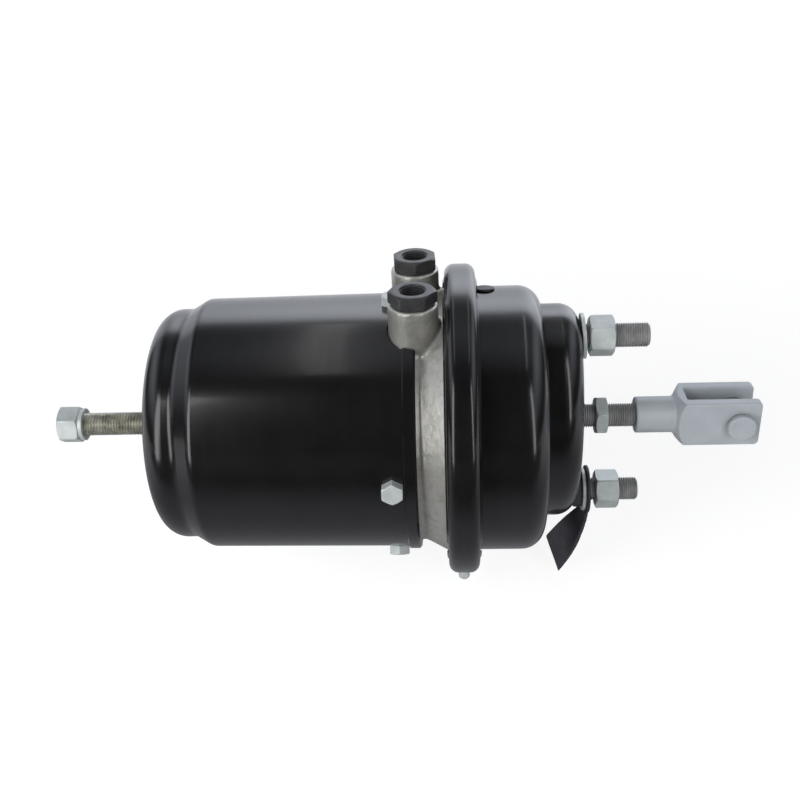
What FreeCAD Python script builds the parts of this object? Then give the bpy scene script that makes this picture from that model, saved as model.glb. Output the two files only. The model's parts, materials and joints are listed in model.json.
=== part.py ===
"""Spring brake chamber for a drum brake: service chamber, spring chamber and everything between.

Millimetres. X runs along the push rod, towards the clevis, and X = 0 is the mounting face.
Z is up, on the side of the air ports. The chamber is drawn with its spring wound back.
"""
import FreeCAD
import Part
import math
import os

Vec = FreeCAD.Vector
ORIGIN = Vec(0, 0, 0)
AXIS_X = Vec(1, 0, 0)
AXIS_Y = Vec(0, 1, 0)
AXIS_Z = Vec(0, 0, 1)

# Clearances
RUNNING = 0.05
SLIP = 0.1
SOFT_GAP = 0.3

# Broken edges and small fillets
EDGE = 1.0
SOFT_EDGE = 2.0

# Turn of a hexagon that brings a flat to the side
HALF_SIDE = 30.0

# Travel of the spring piston and the push rod
STROKE = 57.0

# Front housing, a pressing with an oval pad that carries the studs
SHEET = 3.0
CUP_RADIUS = 89.4
CUP_FACE_X = -24.0
CUP_FILLET = 15.0
PAD_SIDE_RADIUS = 90.0
PAD_TOP_RADIUS = 43.0
PAD_TOP_REACH = 19.7
PAD_BASE_RADIUS = 32.0
PAD_BASE_REACH = 14.7
PAD_FILLET = 13.5
ROD_HOLE_RADIUS = 17.0
VENT_SETBACK = 5.7
VENT_ANGLE = 100.0
VENT_RADIUS = 5.0
VENT_HEAD_RADIUS = 7.0
VENT_HEAD_HEIGHT = 2.2

# Flanges and diaphragm bead gripped by the clamp ring
LIP = 9.6
SEAM_X = -77.5
BEAD = 2.8
LIP_TURN = 3.0
BOWL_STEP = 2.4
BOWL_FLOOR_X = -96.0
BOWL_SLOPE = 23.0
BOWL_FILLET = 6.0
DIAPHRAGM = 3.0
DIAPHRAGM_X = -91.7
DIAPHRAGM_STEP = 2.5
DIAPHRAGM_SLOPE = 18.5
DIAPHRAGM_BEND = 5.0

# Clamp ring
RING_ROOM = 2.8
RING_WIDTH = 20.4
RING_SHEET = 3.0
RING_CORNER = 6.5
RING_LEG = 10.8
RING_FLARE = 1.1
RING_GAP = 6.0
LUG_THICKNESS = 3.5
LUG_WIDTH = 13.0
LUG_RADIUS = 5.0
RELIEF_ANGLES = (-31.0, -151.0, 89.0)
RELIEF_WIDTH = 16.0
CLAMP_BOLT_OFFSET = 6.4
CLAMP_BOLT_RADIUS = 4.0
CLAMP_BOLT_TIP_Y = -33.0
CLAMP_BOLT_FLATS = 13.0
CLAMP_BOLT_HEAD = 5.3

# Intermediate flange, a casting
SPIGOT_REAR_X = -134.0
NECK_X = -106.0
NECK_LENGTH = 3.0
NECK_STEP = 1.6
CONE_GAP = 2.4
HUB_RADIUS = 36.0
RECESS_WALL = 12.3
RECESS_FLOOR_X = -106.0
RIB_COUNT = 6
RIB_THICKNESS = 6.0
SPIGOT_GROOVE_X = -129.5
SEAL_SECTION = 3.6
GUIDE_X = -104.0
GUIDE_WIDTH = 7.0
GUIDE_WALL = 2.5
TUBE_SEAL_XS = (-112.0, -124.0)

# Air ports
PORT_X = -107.0
PORT_Y = 28.5
BOSS_RADIUS = 16.0
BOSS_RISE = 0.4
BOSS_FOOT_Z = 40.0
ADAPTER_FLATS = 27.0
ADAPTER_HEX = 7.8
ADAPTER_THREAD_RADIUS = 11.0
ADAPTER_THREAD_LENGTH = 12.0
ADAPTER_BORE_RADIUS = 7.25
ADAPTER_MOUTH_RADIUS = 8.6
PORT_SEAL = 0.9
PORT_SEAL_RADIUS = 13.2
PASSAGE_RADIUS = 6.0
CROSS_PASSAGE_RADIUS = 5.0
PASSAGE_Z = 54.0

# Spring cylinder, a deep-drawn can
CAN_SHEET = 3.0
CAN_END_X = -280.0
CAN_CAP_STEP = 6.2
CAN_CAP_FILLET = 15.0
CAN_GROOVE_X = -258.0
CAN_GROOVE = 0.6
CAN_SHOULDER_X = -246.5
CAN_SHOULDER_RADIUS = 85.2
CAN_SHOULDER_FILLET = 8.0
CAN_TAPER = 1.2
CAN_COLLAR = 1.8
CAN_COLLAR_X = -114.5
CAN_COLLAR_CHAMFER = 1.2
SCALLOP_GAP = 0.8

# Radial screws that hold the can on the casting
SCREW_X = -121.5
SCREW_ANGLES = (0.0, -60.0, -120.0, 180.0, 90.0)
SCREW_RADIUS = 4.0
SCREW_FLATS = 13.0
SCREW_HEAD = 6.2
SCREW_LENGTH = 9.0

# Release bolt and the bush it turns in
BOLT_RADIUS = 8.0
BUSH_RADIUS = 16.0
BUSH_FLANGE_RADIUS = 24.0
BUSH_LENGTH = 18.0
BOLT_COLLAR_RADIUS = 14.0
BOLT_COLLAR = 8.0
RELEASE_WASHER_RADIUS = 11.2
RELEASE_WASHER = 3.0
RELEASE_FLATS = 23.0
RELEASE_NUT = 17.0
BOLT_TAIL = 0.7
CAGE_SLACK = 2.0

# Spring piston
PISTON_REST_X = -192.0
PISTON_DISC = 8.0
PISTON_GAP = 1.7
PISTON_SKIRT = 14.0
PISTON_SKIRT_WALL = 10.0
TUBE_RADIUS = 20.0
TUBE_WALL = 4.0
PLUG_FLANGE = 4.7
PLUG_PILOT = 9.0

# Springs
POWER_WIRE_RADIUS = 6.5
POWER_GAP = 16.0
POWER_TURNS = 4.0
RETURN_WIRE_RADIUS = 2.25
RETURN_RADIUS_REAR = 52.0
RETURN_RADIUS_FRONT = 36.0
RETURN_TURNS = 5.0

# Push rod and clevis
PLATE = 4.0
PLATE_STEP = 4.0
PLATE_HUB_RADIUS = 14.0
PLATE_HUB = 9.0
ROD_RADIUS = 8.0
ROD_END_X = 63.0
JAM_NUT_X = 12.6
JAM_NUT = 8.0
JAM_NUT_FLATS = 24.0
CLEVIS_X = 39.5
CLEVIS_SOCKET_RADIUS = 12.3
CLEVIS_NECK_X = 65.0
CLEVIS_BODY_X = 70.8
CLEVIS_END_X = 120.3
CLEVIS_WIDTH = 31.0
CLEVIS_HEIGHT = 31.6
CLEVIS_TIP_FILLET = 6.0
CLEVIS_SLOT = 16.0
CLEVIS_SLOT_X = 72.5
PIN_X = 107.0
PIN_RADIUS = 7.0
PIN_HEAD_RADIUS = 9.7
PIN_HEAD = 4.0
PIN_WASHER_RADIUS = 12.0
PIN_WASHER = 2.0
PIN_TAIL = 6.5
SPLIT_RADIUS = 1.5
SPLIT_LENGTH = 24.0
SPLIT_EYE_RADIUS = 3.6
SPLIT_EYE_WIRE = 1.2

# Mounting studs and what is on them
STUD_SPACING = 120.65
STUD_RADIUS = 8.0
STUD_PITCH_RADIUS = 7.51
STUD_END_X = 45.0
STUD_HEAD_RADIUS = 9.8
STUD_HEAD = 5.0
STUD_PLATE = 5.0
STUD_PLATE_MARGIN = 1.0
STUD_NUT = 16.0
STUD_NUT_FLATS = 24.0
STUD_WASHER = 2.5
STUD_WASHER_RADIUS = 15.0
STUD_WASHER_HOLE = 8.5
UPPER_NUT_X = 6.0
LOWER_NUT_X = 15.5
GROMMET = 6.0
GROMMET_RADIUS = 12.5
STRAP = 3.4
STRAP_EYE_RADIUS = 17.0
STRAP_ROOT_WIDTH = 13.0
STRAP_END_WIDTH = 31.0
STRAP_BACK = 22.9
STRAP_SWAY = 6.0
STRAP_DROP = 37.5
STRAP_BEND = 1.3
STRAP_TWIST = 85.0
STRAP_CUT = 18.0
STRAP_STEPS = 4

# Radii worked out from the sizes above
LIP_RADIUS = CUP_RADIUS + LIP
BOWL_RADIUS = CUP_RADIUS - BOWL_STEP
BOWL_FLOOR_RADIUS = BOWL_RADIUS - BOWL_SLOPE
DIAPHRAGM_ROOT_RADIUS = BOWL_RADIUS - DIAPHRAGM_STEP
DIAPHRAGM_FLAT_RADIUS = DIAPHRAGM_ROOT_RADIUS - DIAPHRAGM_SLOPE
PLATE_RADIUS = DIAPHRAGM_FLAT_RADIUS - PLATE_STEP
RING_RADIUS = LIP_RADIUS + RING_ROOM + RING_SHEET
RING_LEG_RADIUS = RING_RADIUS - RING_LEG
CAN_CAP_RADIUS = CAN_SHOULDER_RADIUS - CAN_CAP_STEP
CAN_GROOVE_RADIUS = CAN_CAP_RADIUS - CAN_GROOVE
CAN_RIM_RADIUS = CAN_SHOULDER_RADIUS + CAN_TAPER
CAN_COLLAR_RADIUS = CAN_RIM_RADIUS + CAN_COLLAR
CAN_BORE = CAN_RIM_RADIUS - CAN_SHEET
SPIGOT_RADIUS = CAN_BORE - SLIP
NECK_RADIUS = CAN_BORE - NECK_STEP
CONE_END_RADIUS = RING_LEG_RADIUS - CONE_GAP
RECESS_RADIUS = SPIGOT_RADIUS - RECESS_WALL
PISTON_RADIUS = CAN_SHOULDER_RADIUS - CAN_SHEET - PISTON_GAP
POWER_RADIUS = CAN_CAP_RADIUS - CAN_SHEET - POWER_GAP - SHEET

# Stations worked out from the sizes above
BEAD_REAR_X = SEAM_X - BEAD / 2
BEAD_FRONT_X = SEAM_X + BEAD / 2
RING_REAR_X = SEAM_X - RING_WIDTH / 2
RING_FRONT_X = SEAM_X + RING_WIDTH / 2
VENT_X = RING_FRONT_X + VENT_SETBACK
CLAMP_BOLT_Z = -RING_RADIUS - CLAMP_BOLT_OFFSET
LIP_REAR_X = RING_REAR_X + RING_SHEET + SLIP
LIP_FRONT_X = RING_FRONT_X - RING_SHEET - SLIP
CAN_RIM_X = NECK_X
CAN_FLOOR_X = CAN_END_X + CAN_SHEET
PLUG_FACE_X = DIAPHRAGM_X - SOFT_GAP
TUBE_END_X = PLUG_FACE_X - PLUG_FLANGE
PLATE_X = DIAPHRAGM_X + DIAPHRAGM + SOFT_GAP
PISTON_REAR_X = PISTON_REST_X - PISTON_DISC
BOLT_OUTER_X = CAN_END_X - STROKE - CAGE_SLACK
STUD_Z = STUD_SPACING / 2
PAD_TOP_Z = STUD_Z + PAD_TOP_REACH - PAD_TOP_RADIUS
PAD_BASE_Z = -STUD_Z - PAD_BASE_REACH + PAD_BASE_RADIUS
STUD_PLATE_X = -SHEET - STUD_PLATE
BOSS_TOP_Z = LIP_RADIUS + BOSS_RISE
HEX_TOP_Z = BOSS_TOP_Z + PORT_SEAL + ADAPTER_HEX


def cylinder(radius, start, length, direction=AXIS_X):
    """Solid cylinder from a start point along a direction."""
    return Part.makeCylinder(radius, length, start, direction)


def tube(outer, inner, x0, x1):
    """Round tube along X."""
    length = x1 - x0
    start = Vec(x0, 0, 0)
    return cylinder(outer, start, length).cut(cylinder(inner, start, length))


def around_x(shape, angle):
    """Turns a shape about X: 0 degrees is -Y and 90 degrees is +Z."""
    turned = shape.copy()
    turned.rotate(ORIGIN, AXIS_X, -angle)
    return turned


def rounded_wire(points):
    """Closed wire through (x, r) or (x, r, fillet) points in the XZ plane, its corners rounded by arcs."""
    corners = [Vec(p[0], 0, p[1]) for p in points]
    fillets = [p[2] if len(p) > 2 else 0.0 for p in points]
    ends = []
    count = len(points)
    for i, corner in enumerate(corners):
        before = (corners[i - 1] - corner).normalize()
        after = (corners[(i + 1) % count] - corner).normalize()
        if not fillets[i]:
            ends.append((corner, None, corner))
            continue
        half = before.getAngle(after) / 2
        setback = fillets[i] / math.tan(half)
        middle = (before + after).normalize()
        centre = corner + middle * (fillets[i] / math.sin(half))
        ends.append((corner + before * setback, centre - middle * fillets[i], corner + after * setback))
    edges = []
    for i, (start, via, stop) in enumerate(ends):
        if via is not None:
            edges.append(Part.Arc(start, via, stop).toShape())
        following = ends[(i + 1) % count][0]
        if stop.distanceToPoint(following) > Part.Precision.confusion() * 10:
            edges.append(Part.LineSegment(stop, following).toShape())
    return Part.Wire(edges)


def turned(points):
    """Solid of revolution about X from a closed (x, r[, fillet]) outline."""
    return Part.Face(rounded_wire(points)).revolve(ORIGIN, AXIS_X, 360)


def hexagon(flats, length, turn=0.0):
    """Hexagonal prism along X from X = 0, its outer corners chamfered at both ends."""
    corner = flats / math.sqrt(3)
    angles = [math.pi / 3 * i + math.radians(turn) for i in range(7)]
    points = [Vec(0, corner * math.cos(a), corner * math.sin(a)) for a in angles]
    prism = Part.Face(Part.makePolygon(points)).extrude(Vec(length, 0, 0))
    cut = corner - flats / 2
    depth = cut / 2
    guard = turned([
        (0, 0), (0, flats / 2), (depth, corner), (length - depth, corner), (length, flats / 2), (length, 0),
    ])
    return prism.common(guard)


def nut(flats, length, bore, x0, z=0.0, turn=0.0):
    """Hexagonal nut round an axis parallel to X."""
    blank = hexagon(flats, length, turn)
    blank.translate(Vec(x0, 0, z))
    return blank.cut(cylinder(bore, Vec(x0, 0, z), length))


def washer(outer, inner, x0, length, z=0.0):
    """Flat ring round an axis parallel to X."""
    start = Vec(x0, 0, z)
    return cylinder(outer, start, length).cut(cylinder(inner, start, length))


def pad_prism(inset, x0, x1):
    """Egg-shaped outline of four tangent arcs, long along Z, drawn in by an inset and extruded along X."""
    top, base, side = PAD_TOP_RADIUS - inset, PAD_BASE_RADIUS - inset, PAD_SIDE_RADIUS - inset
    to_top, to_base = PAD_SIDE_RADIUS - PAD_TOP_RADIUS, PAD_SIDE_RADIUS - PAD_BASE_RADIUS
    span = PAD_TOP_Z - PAD_BASE_Z
    middle_z = PAD_BASE_Z + (span ** 2 + to_base ** 2 - to_top ** 2) / (2 * span)
    offset = math.sqrt(to_top ** 2 - (PAD_TOP_Z - middle_z) ** 2)
    tilt_top = math.atan2(PAD_TOP_Z - middle_z, offset)
    tilt_base = math.atan2(middle_z - PAD_BASE_Z, offset)
    top_y, top_z = side * math.cos(tilt_top) - offset, middle_z + side * math.sin(tilt_top)
    base_y, base_z = side * math.cos(tilt_base) - offset, middle_z - side * math.sin(tilt_base)
    corners = ((base_y, base_z), (top_y, top_z), (-top_y, top_z), (-base_y, base_z))
    joins = [Vec(x0, y, z) for y, z in corners]
    crowns = [Vec(x0, y, z) for y, z in (
        (side - offset, middle_z), (0, PAD_TOP_Z + top), (offset - side, middle_z), (0, PAD_BASE_Z - base),
    )]
    arcs = [Part.Arc(joins[i], crowns[i], joins[(i + 1) % 4]).toShape() for i in range(4)]
    return Part.Face(Part.Wire(arcs)).extrude(Vec(x1 - x0, 0, 0))


def round_end(shape, x, radius):
    """Fillets the edges that lie in the plane at x."""
    boxes = [(e, e.BoundBox) for e in shape.Edges]
    flat = [e for e, box in boxes if abs(box.XMin - x) < RUNNING and abs(box.XMax - x) < RUNNING]
    return shape.makeFillet(radius, flat)


def vent_axis():
    """Point on the axis of the cup and outward direction of the vent."""
    angle = math.radians(VENT_ANGLE)
    return Vec(VENT_X, 0, 0), Vec(0, -math.cos(angle), math.sin(angle))


def front_housing():
    """Two-step pressing: bolting lip, round cup, oval pad."""
    inner = CUP_RADIUS - SHEET
    cup = turned([
        (BEAD_FRONT_X, 0), (BEAD_FRONT_X, LIP_RADIUS), (LIP_FRONT_X, LIP_RADIUS),
        (LIP_FRONT_X, LIP_RADIUS - LIP_TURN), (BEAD_FRONT_X + SHEET, LIP_RADIUS - LIP_TURN),
        (BEAD_FRONT_X + SHEET, CUP_RADIUS, SHEET / 2), (CUP_FACE_X, CUP_RADIUS, CUP_FILLET),
        (CUP_FACE_X, 0),
    ])
    hollow = turned([
        (BEAD_FRONT_X - SHEET, 0), (BEAD_FRONT_X - SHEET, inner),
        (CUP_FACE_X - SHEET, inner, CUP_FILLET - SHEET), (CUP_FACE_X - SHEET, 0),
    ])
    pad = round_end(pad_prism(0, CUP_FACE_X - SHEET / 2, 0), 0, PAD_FILLET)
    pad_hollow = round_end(pad_prism(SHEET, CUP_FACE_X - 2 * SHEET, -SHEET), -SHEET, PAD_FILLET - SHEET)
    shell = cup.fuse(pad).cut(hollow).cut(pad_hollow)
    shell = shell.cut(cylinder(ROD_HOLE_RADIUS, Vec(-2 * SHEET, 0, 0), 3 * SHEET))
    for z in (STUD_Z, -STUD_Z):
        shell = shell.cut(cylinder(STUD_PITCH_RADIUS + SLIP, Vec(-2 * SHEET, 0, z), 3 * SHEET))
    start, outward = vent_axis()
    return shell.cut(cylinder(VENT_RADIUS + SLIP, start, CUP_RADIUS + SHEET, outward))


def vent_plug():
    """Round breather plug pressed into the cup, its head proud of the wall."""
    start, outward = vent_axis()
    stem = cylinder(VENT_RADIUS, start, CUP_RADIUS + VENT_HEAD_HEIGHT, outward)
    head = cylinder(VENT_HEAD_RADIUS, start, CUP_RADIUS + VENT_HEAD_HEIGHT, outward)
    rear = Vec(VENT_X - 2 * VENT_HEAD_RADIUS, 0, 0)
    cup = cylinder(CUP_RADIUS + RUNNING, rear, 4 * VENT_HEAD_RADIUS)
    bore = cylinder(CUP_RADIUS - SHEET - SLIP, rear, 4 * VENT_HEAD_RADIUS)
    rim = stem.fuse(head.cut(cup)).removeSplitter()
    return rim.cut(bore)


def rod_guide():
    """Wiper ring in the rod hole, seated in the pressing."""
    ring = tube(ROD_HOLE_RADIUS - SLIP, ROD_RADIUS + SOFT_GAP, -SHEET, 0)
    flange = tube(ROD_HOLE_RADIUS + SHEET, ROD_RADIUS + SOFT_GAP, -SHEET - SHEET / 2, -SHEET)
    return ring.fuse(flange).removeSplitter()


def stud_plate():
    """Stiffener inside the pad, behind its face, rounded to clear the bend of the pressing."""
    blank = pad_prism(STUD_PLATE_MARGIN + SHEET, STUD_PLATE_X - PAD_FILLET, -SHEET)
    blank = round_end(blank, -SHEET, PAD_FILLET - SHEET)
    plate = blank.common(cylinder(PAD_SIDE_RADIUS, Vec(STUD_PLATE_X, 0, 0), STUD_PLATE))
    plate = plate.cut(cylinder(ROD_HOLE_RADIUS + 2 * SHEET, Vec(STUD_PLATE_X, 0, 0), STUD_PLATE))
    for z in (STUD_Z, -STUD_Z):
        plate = plate.cut(cylinder(STUD_PITCH_RADIUS + SLIP, Vec(STUD_PLATE_X, 0, z), STUD_PLATE))
    return plate


def mounting_studs():
    """Two headed studs: the engaged thread is drawn at its pitch radius, the free end at full size."""
    studs = []
    for z, nut_x in ((STUD_Z, UPPER_NUT_X), (-STUD_Z, LOWER_NUT_X)):
        free_x = nut_x + STUD_NUT
        chamfer = STUD_RADIUS - STUD_PITCH_RADIUS
        stud = turned([
            (STUD_PLATE_X - STUD_HEAD, 0), (STUD_PLATE_X - STUD_HEAD, STUD_HEAD_RADIUS, STUD_HEAD / 2),
            (STUD_PLATE_X, STUD_HEAD_RADIUS), (STUD_PLATE_X, STUD_PITCH_RADIUS),
            (free_x, STUD_PITCH_RADIUS), (free_x, STUD_RADIUS), (STUD_END_X - chamfer, STUD_RADIUS),
            (STUD_END_X, STUD_PITCH_RADIUS), (STUD_END_X, 0),
        ])
        stud.translate(Vec(0, 0, z))
        studs.append(stud)
    return Part.Compound(studs)


def stud_nuts():
    """Hexagonal nuts on the studs."""
    bore = STUD_PITCH_RADIUS + RUNNING
    upper = nut(STUD_NUT_FLATS, STUD_NUT, bore, UPPER_NUT_X, STUD_Z)
    lower = nut(STUD_NUT_FLATS, STUD_NUT, bore, LOWER_NUT_X, -STUD_Z, HALF_SIDE)
    return Part.Compound([upper, lower])


def stud_washers():
    """One flat washer on each stud: on the face above, on the grommet below."""
    upper = washer(STUD_WASHER_RADIUS, STUD_WASHER_HOLE, 0, STUD_WASHER, STUD_Z)
    lower = washer(STUD_WASHER_RADIUS, STUD_WASHER_HOLE, GROMMET, STUD_WASHER, -STUD_Z)
    return Part.Compound([upper, lower])


def stud_grommet():
    """Rubber spacer under the lower washer."""
    return washer(GROMMET_RADIUS, STUD_PITCH_RADIUS + SLIP, 0, GROMMET, -STUD_Z)


def strap_section(centre, across, along, width, thickness):
    """Closed rectangle with its long side across."""
    w = across * (width / 2)
    t = along * (thickness / 2)
    corners = [centre + w + t, centre - w + t, centre - w - t, centre + w - t]
    return Part.makePolygon(corners + corners[:1])


def stud_strap():
    """Rubber strap: an eye on the lower stud and a broad tail that hangs back and twists."""
    eye_x = GROMMET + STUD_WASHER
    eye = washer(STRAP_EYE_RADIUS, STUD_PITCH_RADIUS + SLIP, eye_x, STRAP, -STUD_Z)
    root = Vec(eye_x + STRAP / 2, 0, -STUD_Z - STRAP_EYE_RADIUS + EDGE)
    cut = Vec(math.sin(math.radians(STRAP_CUT)), 0, -math.cos(math.radians(STRAP_CUT)))
    sections = []
    for i in range(STRAP_STEPS + 1):
        share = i / STRAP_STEPS
        twist = math.radians(STRAP_TWIST * share)
        centre = root + Vec(-STRAP_BACK * share ** STRAP_BEND, -STRAP_SWAY * share, -STRAP_DROP * share)
        side = AXIS_Y * -math.cos(twist) + cut * math.sin(twist)
        flow = Vec(-STRAP_BACK * share, 0, -STRAP_DROP).normalize()
        width = STRAP_ROOT_WIDTH + (STRAP_END_WIDTH - STRAP_ROOT_WIDTH) * share
        sections.append(strap_section(centre, side, side.cross(flow).normalize(), width, STRAP))
    tail = Part.makeLoft(sections, True, False)
    return eye.fuse(tail).removeSplitter()


def clamp_ring():
    """Split ring of rounded U section with a lug at each end."""
    rear, front = RING_REAR_X, RING_FRONT_X
    inner = RING_RADIUS - RING_SHEET
    inner_corner = RING_CORNER - RING_SHEET
    section = [
        (rear - RING_FLARE, RING_LEG_RADIUS), (rear, RING_LEG_RADIUS + 2 * RING_FLARE),
        (rear, RING_RADIUS, RING_CORNER),
        (front, RING_RADIUS, RING_CORNER), (front, RING_LEG_RADIUS + 2 * RING_FLARE),
        (front + RING_FLARE, RING_LEG_RADIUS), (front - RING_SHEET, RING_LEG_RADIUS),
        (front - RING_SHEET, inner, inner_corner), (rear + RING_SHEET, inner, inner_corner),
        (rear + RING_SHEET, RING_LEG_RADIUS),
    ]
    ring = turned(section)
    reach = 2 * LUG_RADIUS - CLAMP_BOLT_Z
    web_height = RING_RADIUS + CLAMP_BOLT_Z
    for y0 in (RING_GAP / 2, -RING_GAP / 2 - LUG_THICKNESS):
        corner = Vec(SEAM_X - LUG_WIDTH / 2, y0, CLAMP_BOLT_Z)
        web = Part.makeBox(LUG_WIDTH, LUG_THICKNESS, RING_SHEET - web_height, corner)
        web = web.cut(cylinder(inner, Vec(SEAM_X - LUG_WIDTH, 0, 0), 2 * LUG_WIDTH))
        ear = cylinder(LUG_RADIUS, Vec(SEAM_X, y0, CLAMP_BOLT_Z), LUG_THICKNESS, AXIS_Y)
        ring = ring.fuse(web).fuse(ear)
    ring = ring.cut(across_seam(RING_GAP / 2, reach))
    for angle in RELIEF_ANGLES:
        ring = ring.cut(around_x(relief_cut(), angle))
    bore = cylinder(CLAMP_BOLT_RADIUS + SLIP, Vec(SEAM_X, -reach, CLAMP_BOLT_Z), 2 * reach, AXIS_Y)
    return ring.cut(bore.common(across_seam(RING_GAP + LUG_THICKNESS, reach))).removeSplitter()


def relief_cut():
    """Block that shortens both legs of the ring over a short length, on the -Y side."""
    depth = RING_LEG - RING_CORNER
    corner = Vec(SEAM_X - RING_WIDTH, -RING_LEG_RADIUS - depth, -RELIEF_WIDTH / 2)
    block = Part.makeBox(2 * RING_WIDTH, 2 * depth, RELIEF_WIDTH, corner)
    return block.cut(cylinder(LIP_RADIUS, Vec(LIP_REAR_X, 0, 0), LIP_FRONT_X - LIP_REAR_X))


def across_seam(half_width, reach):
    """Block over the joint of the clamp ring, from the axis down."""
    corner = Vec(SEAM_X - RING_WIDTH, -half_width, -reach)
    return Part.makeBox(2 * RING_WIDTH, 2 * half_width, reach, corner)


def clamp_bolt():
    """Hexagon bolt drawn through both lugs, its tip towards -Y."""
    head_y = RING_GAP / 2 + LUG_THICKNESS
    head = hexagon(CLAMP_BOLT_FLATS, CLAMP_BOLT_HEAD)
    head.rotate(ORIGIN, AXIS_Z, 90)
    head.translate(Vec(SEAM_X, head_y, CLAMP_BOLT_Z))
    tip = Vec(SEAM_X, CLAMP_BOLT_TIP_Y, CLAMP_BOLT_Z)
    shank = cylinder(CLAMP_BOLT_RADIUS, tip, head_y - CLAMP_BOLT_TIP_Y, AXIS_Y)
    return head.fuse(shank)


def port_sides():
    """The service port is on the -Y side and the spring port on the +Y side."""
    return (-1, 1)


def intermediate_flange():
    """Casting between the chambers: spigot, cone, clamping lip, hub and two port bosses."""
    neck_end = NECK_X + NECK_LENGTH
    body = turned([
        (SPIGOT_REAR_X, 0), (SPIGOT_REAR_X, SPIGOT_RADIUS, CAN_COLLAR_CHAMFER), (NECK_X, SPIGOT_RADIUS),
        (NECK_X, NECK_RADIUS), (neck_end, NECK_RADIUS), (LIP_REAR_X, CONE_END_RADIUS),
        (LIP_REAR_X, LIP_RADIUS), (BEAD_REAR_X, LIP_RADIUS), (BEAD_REAR_X, 0),
    ])
    boss_height = BOSS_TOP_Z - BOSS_FOOT_Z
    feet = [Vec(PORT_X, side * PORT_Y, BOSS_FOOT_Z) for side in port_sides()]
    bosses = [cylinder(BOSS_RADIUS, foot, boss_height, AXIS_Z) for foot in feet]
    for boss in bosses:
        body = body.fuse(boss)
    bowl = turned([
        (BOWL_FLOOR_X, 0), (BOWL_FLOOR_X, BOWL_FLOOR_RADIUS, BOWL_FILLET), (BEAD_REAR_X, BOWL_RADIUS),
        (BEAD_REAR_X + SHEET, BOWL_RADIUS), (BEAD_REAR_X + SHEET, 0),
    ])
    body = body.cut(bowl)
    body = body.cut(flange_recess(bosses))
    body = body.cut(tube(SPIGOT_RADIUS + SHEET, SPIGOT_RADIUS - SEAL_SECTION + SLIP,
                         SPIGOT_GROOVE_X - SEAL_SECTION / 2, SPIGOT_GROOVE_X + SEAL_SECTION / 2))
    rear = Vec(SPIGOT_REAR_X, 0, 0)
    body = body.cut(cylinder(TUBE_RADIUS + SOFT_GAP, rear, BOWL_FLOOR_X - SPIGOT_REAR_X))
    body = body.cut(cylinder(TUBE_RADIUS + GUIDE_WALL, Vec(GUIDE_X, 0, 0), BOWL_FLOOR_X - GUIDE_X))
    for x in TUBE_SEAL_XS:
        body = body.cut(cylinder(TUBE_RADIUS + SEAL_SECTION, Vec(x - SEAL_SECTION / 2, 0, 0), SEAL_SECTION))
    for shape in port_passages() + screw_holes(SPIGOT_RADIUS - SCREW_LENGTH, SCREW_RADIUS + SLIP):
        body = body.cut(shape)
    return body.removeSplitter()


def flange_recess(bosses):
    """Ribbed pocket in the rear of the casting, cut clear of the port bosses."""
    pocket = tube(RECESS_RADIUS, HUB_RADIUS, SPIGOT_REAR_X, RECESS_FLOOR_X)
    for boss in bosses:
        pocket = pocket.cut(boss)
    depth = RECESS_FLOOR_X - SPIGOT_REAR_X
    for i in range(RIB_COUNT):
        rib = Part.makeBox(depth, RIB_THICKNESS, RECESS_RADIUS, Vec(SPIGOT_REAR_X, -RIB_THICKNESS / 2, 0))
        pocket = pocket.cut(around_x(rib, 360 / RIB_COUNT * (i + 0.5)))
    return pocket


def port_passages():
    """Threaded seat, vertical bore and cross bore of each port."""
    cuts = []
    for side in port_sides():
        y = side * PORT_Y
        seat_depth = ADAPTER_THREAD_LENGTH + SLIP
        seat = Vec(PORT_X, y, BOSS_TOP_Z - seat_depth)
        cuts.append(cylinder(ADAPTER_THREAD_RADIUS + SLIP, seat, seat_depth, AXIS_Z))
        cuts.append(cylinder(PASSAGE_RADIUS, Vec(PORT_X, y, PASSAGE_Z), BOSS_TOP_Z - PASSAGE_Z, AXIS_Z))
        length = DIAPHRAGM_X - PORT_X if side < 0 else PORT_X - SPIGOT_REAR_X
        start_x = PORT_X if side < 0 else SPIGOT_REAR_X
        cuts.append(cylinder(CROSS_PASSAGE_RADIUS, Vec(start_x, y, PASSAGE_Z), length))
    return cuts


def screw_holes(inner_radius, radius):
    """Radial cylinders at the places of the can screws, from a radius outwards."""
    blank = cylinder(radius, Vec(SCREW_X, -inner_radius, 0), 2 * SCREW_LENGTH, Vec(0, -1, 0))
    return [around_x(blank, angle) for angle in SCREW_ANGLES]


def can_radius(x):
    """Outer radius of the tapered wall of the can."""
    share = (x - CAN_SHOULDER_X) / (CAN_COLLAR_X - CAN_SHOULDER_X)
    return CAN_SHOULDER_RADIUS + (CAN_RIM_RADIUS - CAN_SHOULDER_RADIUS) * share


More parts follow.
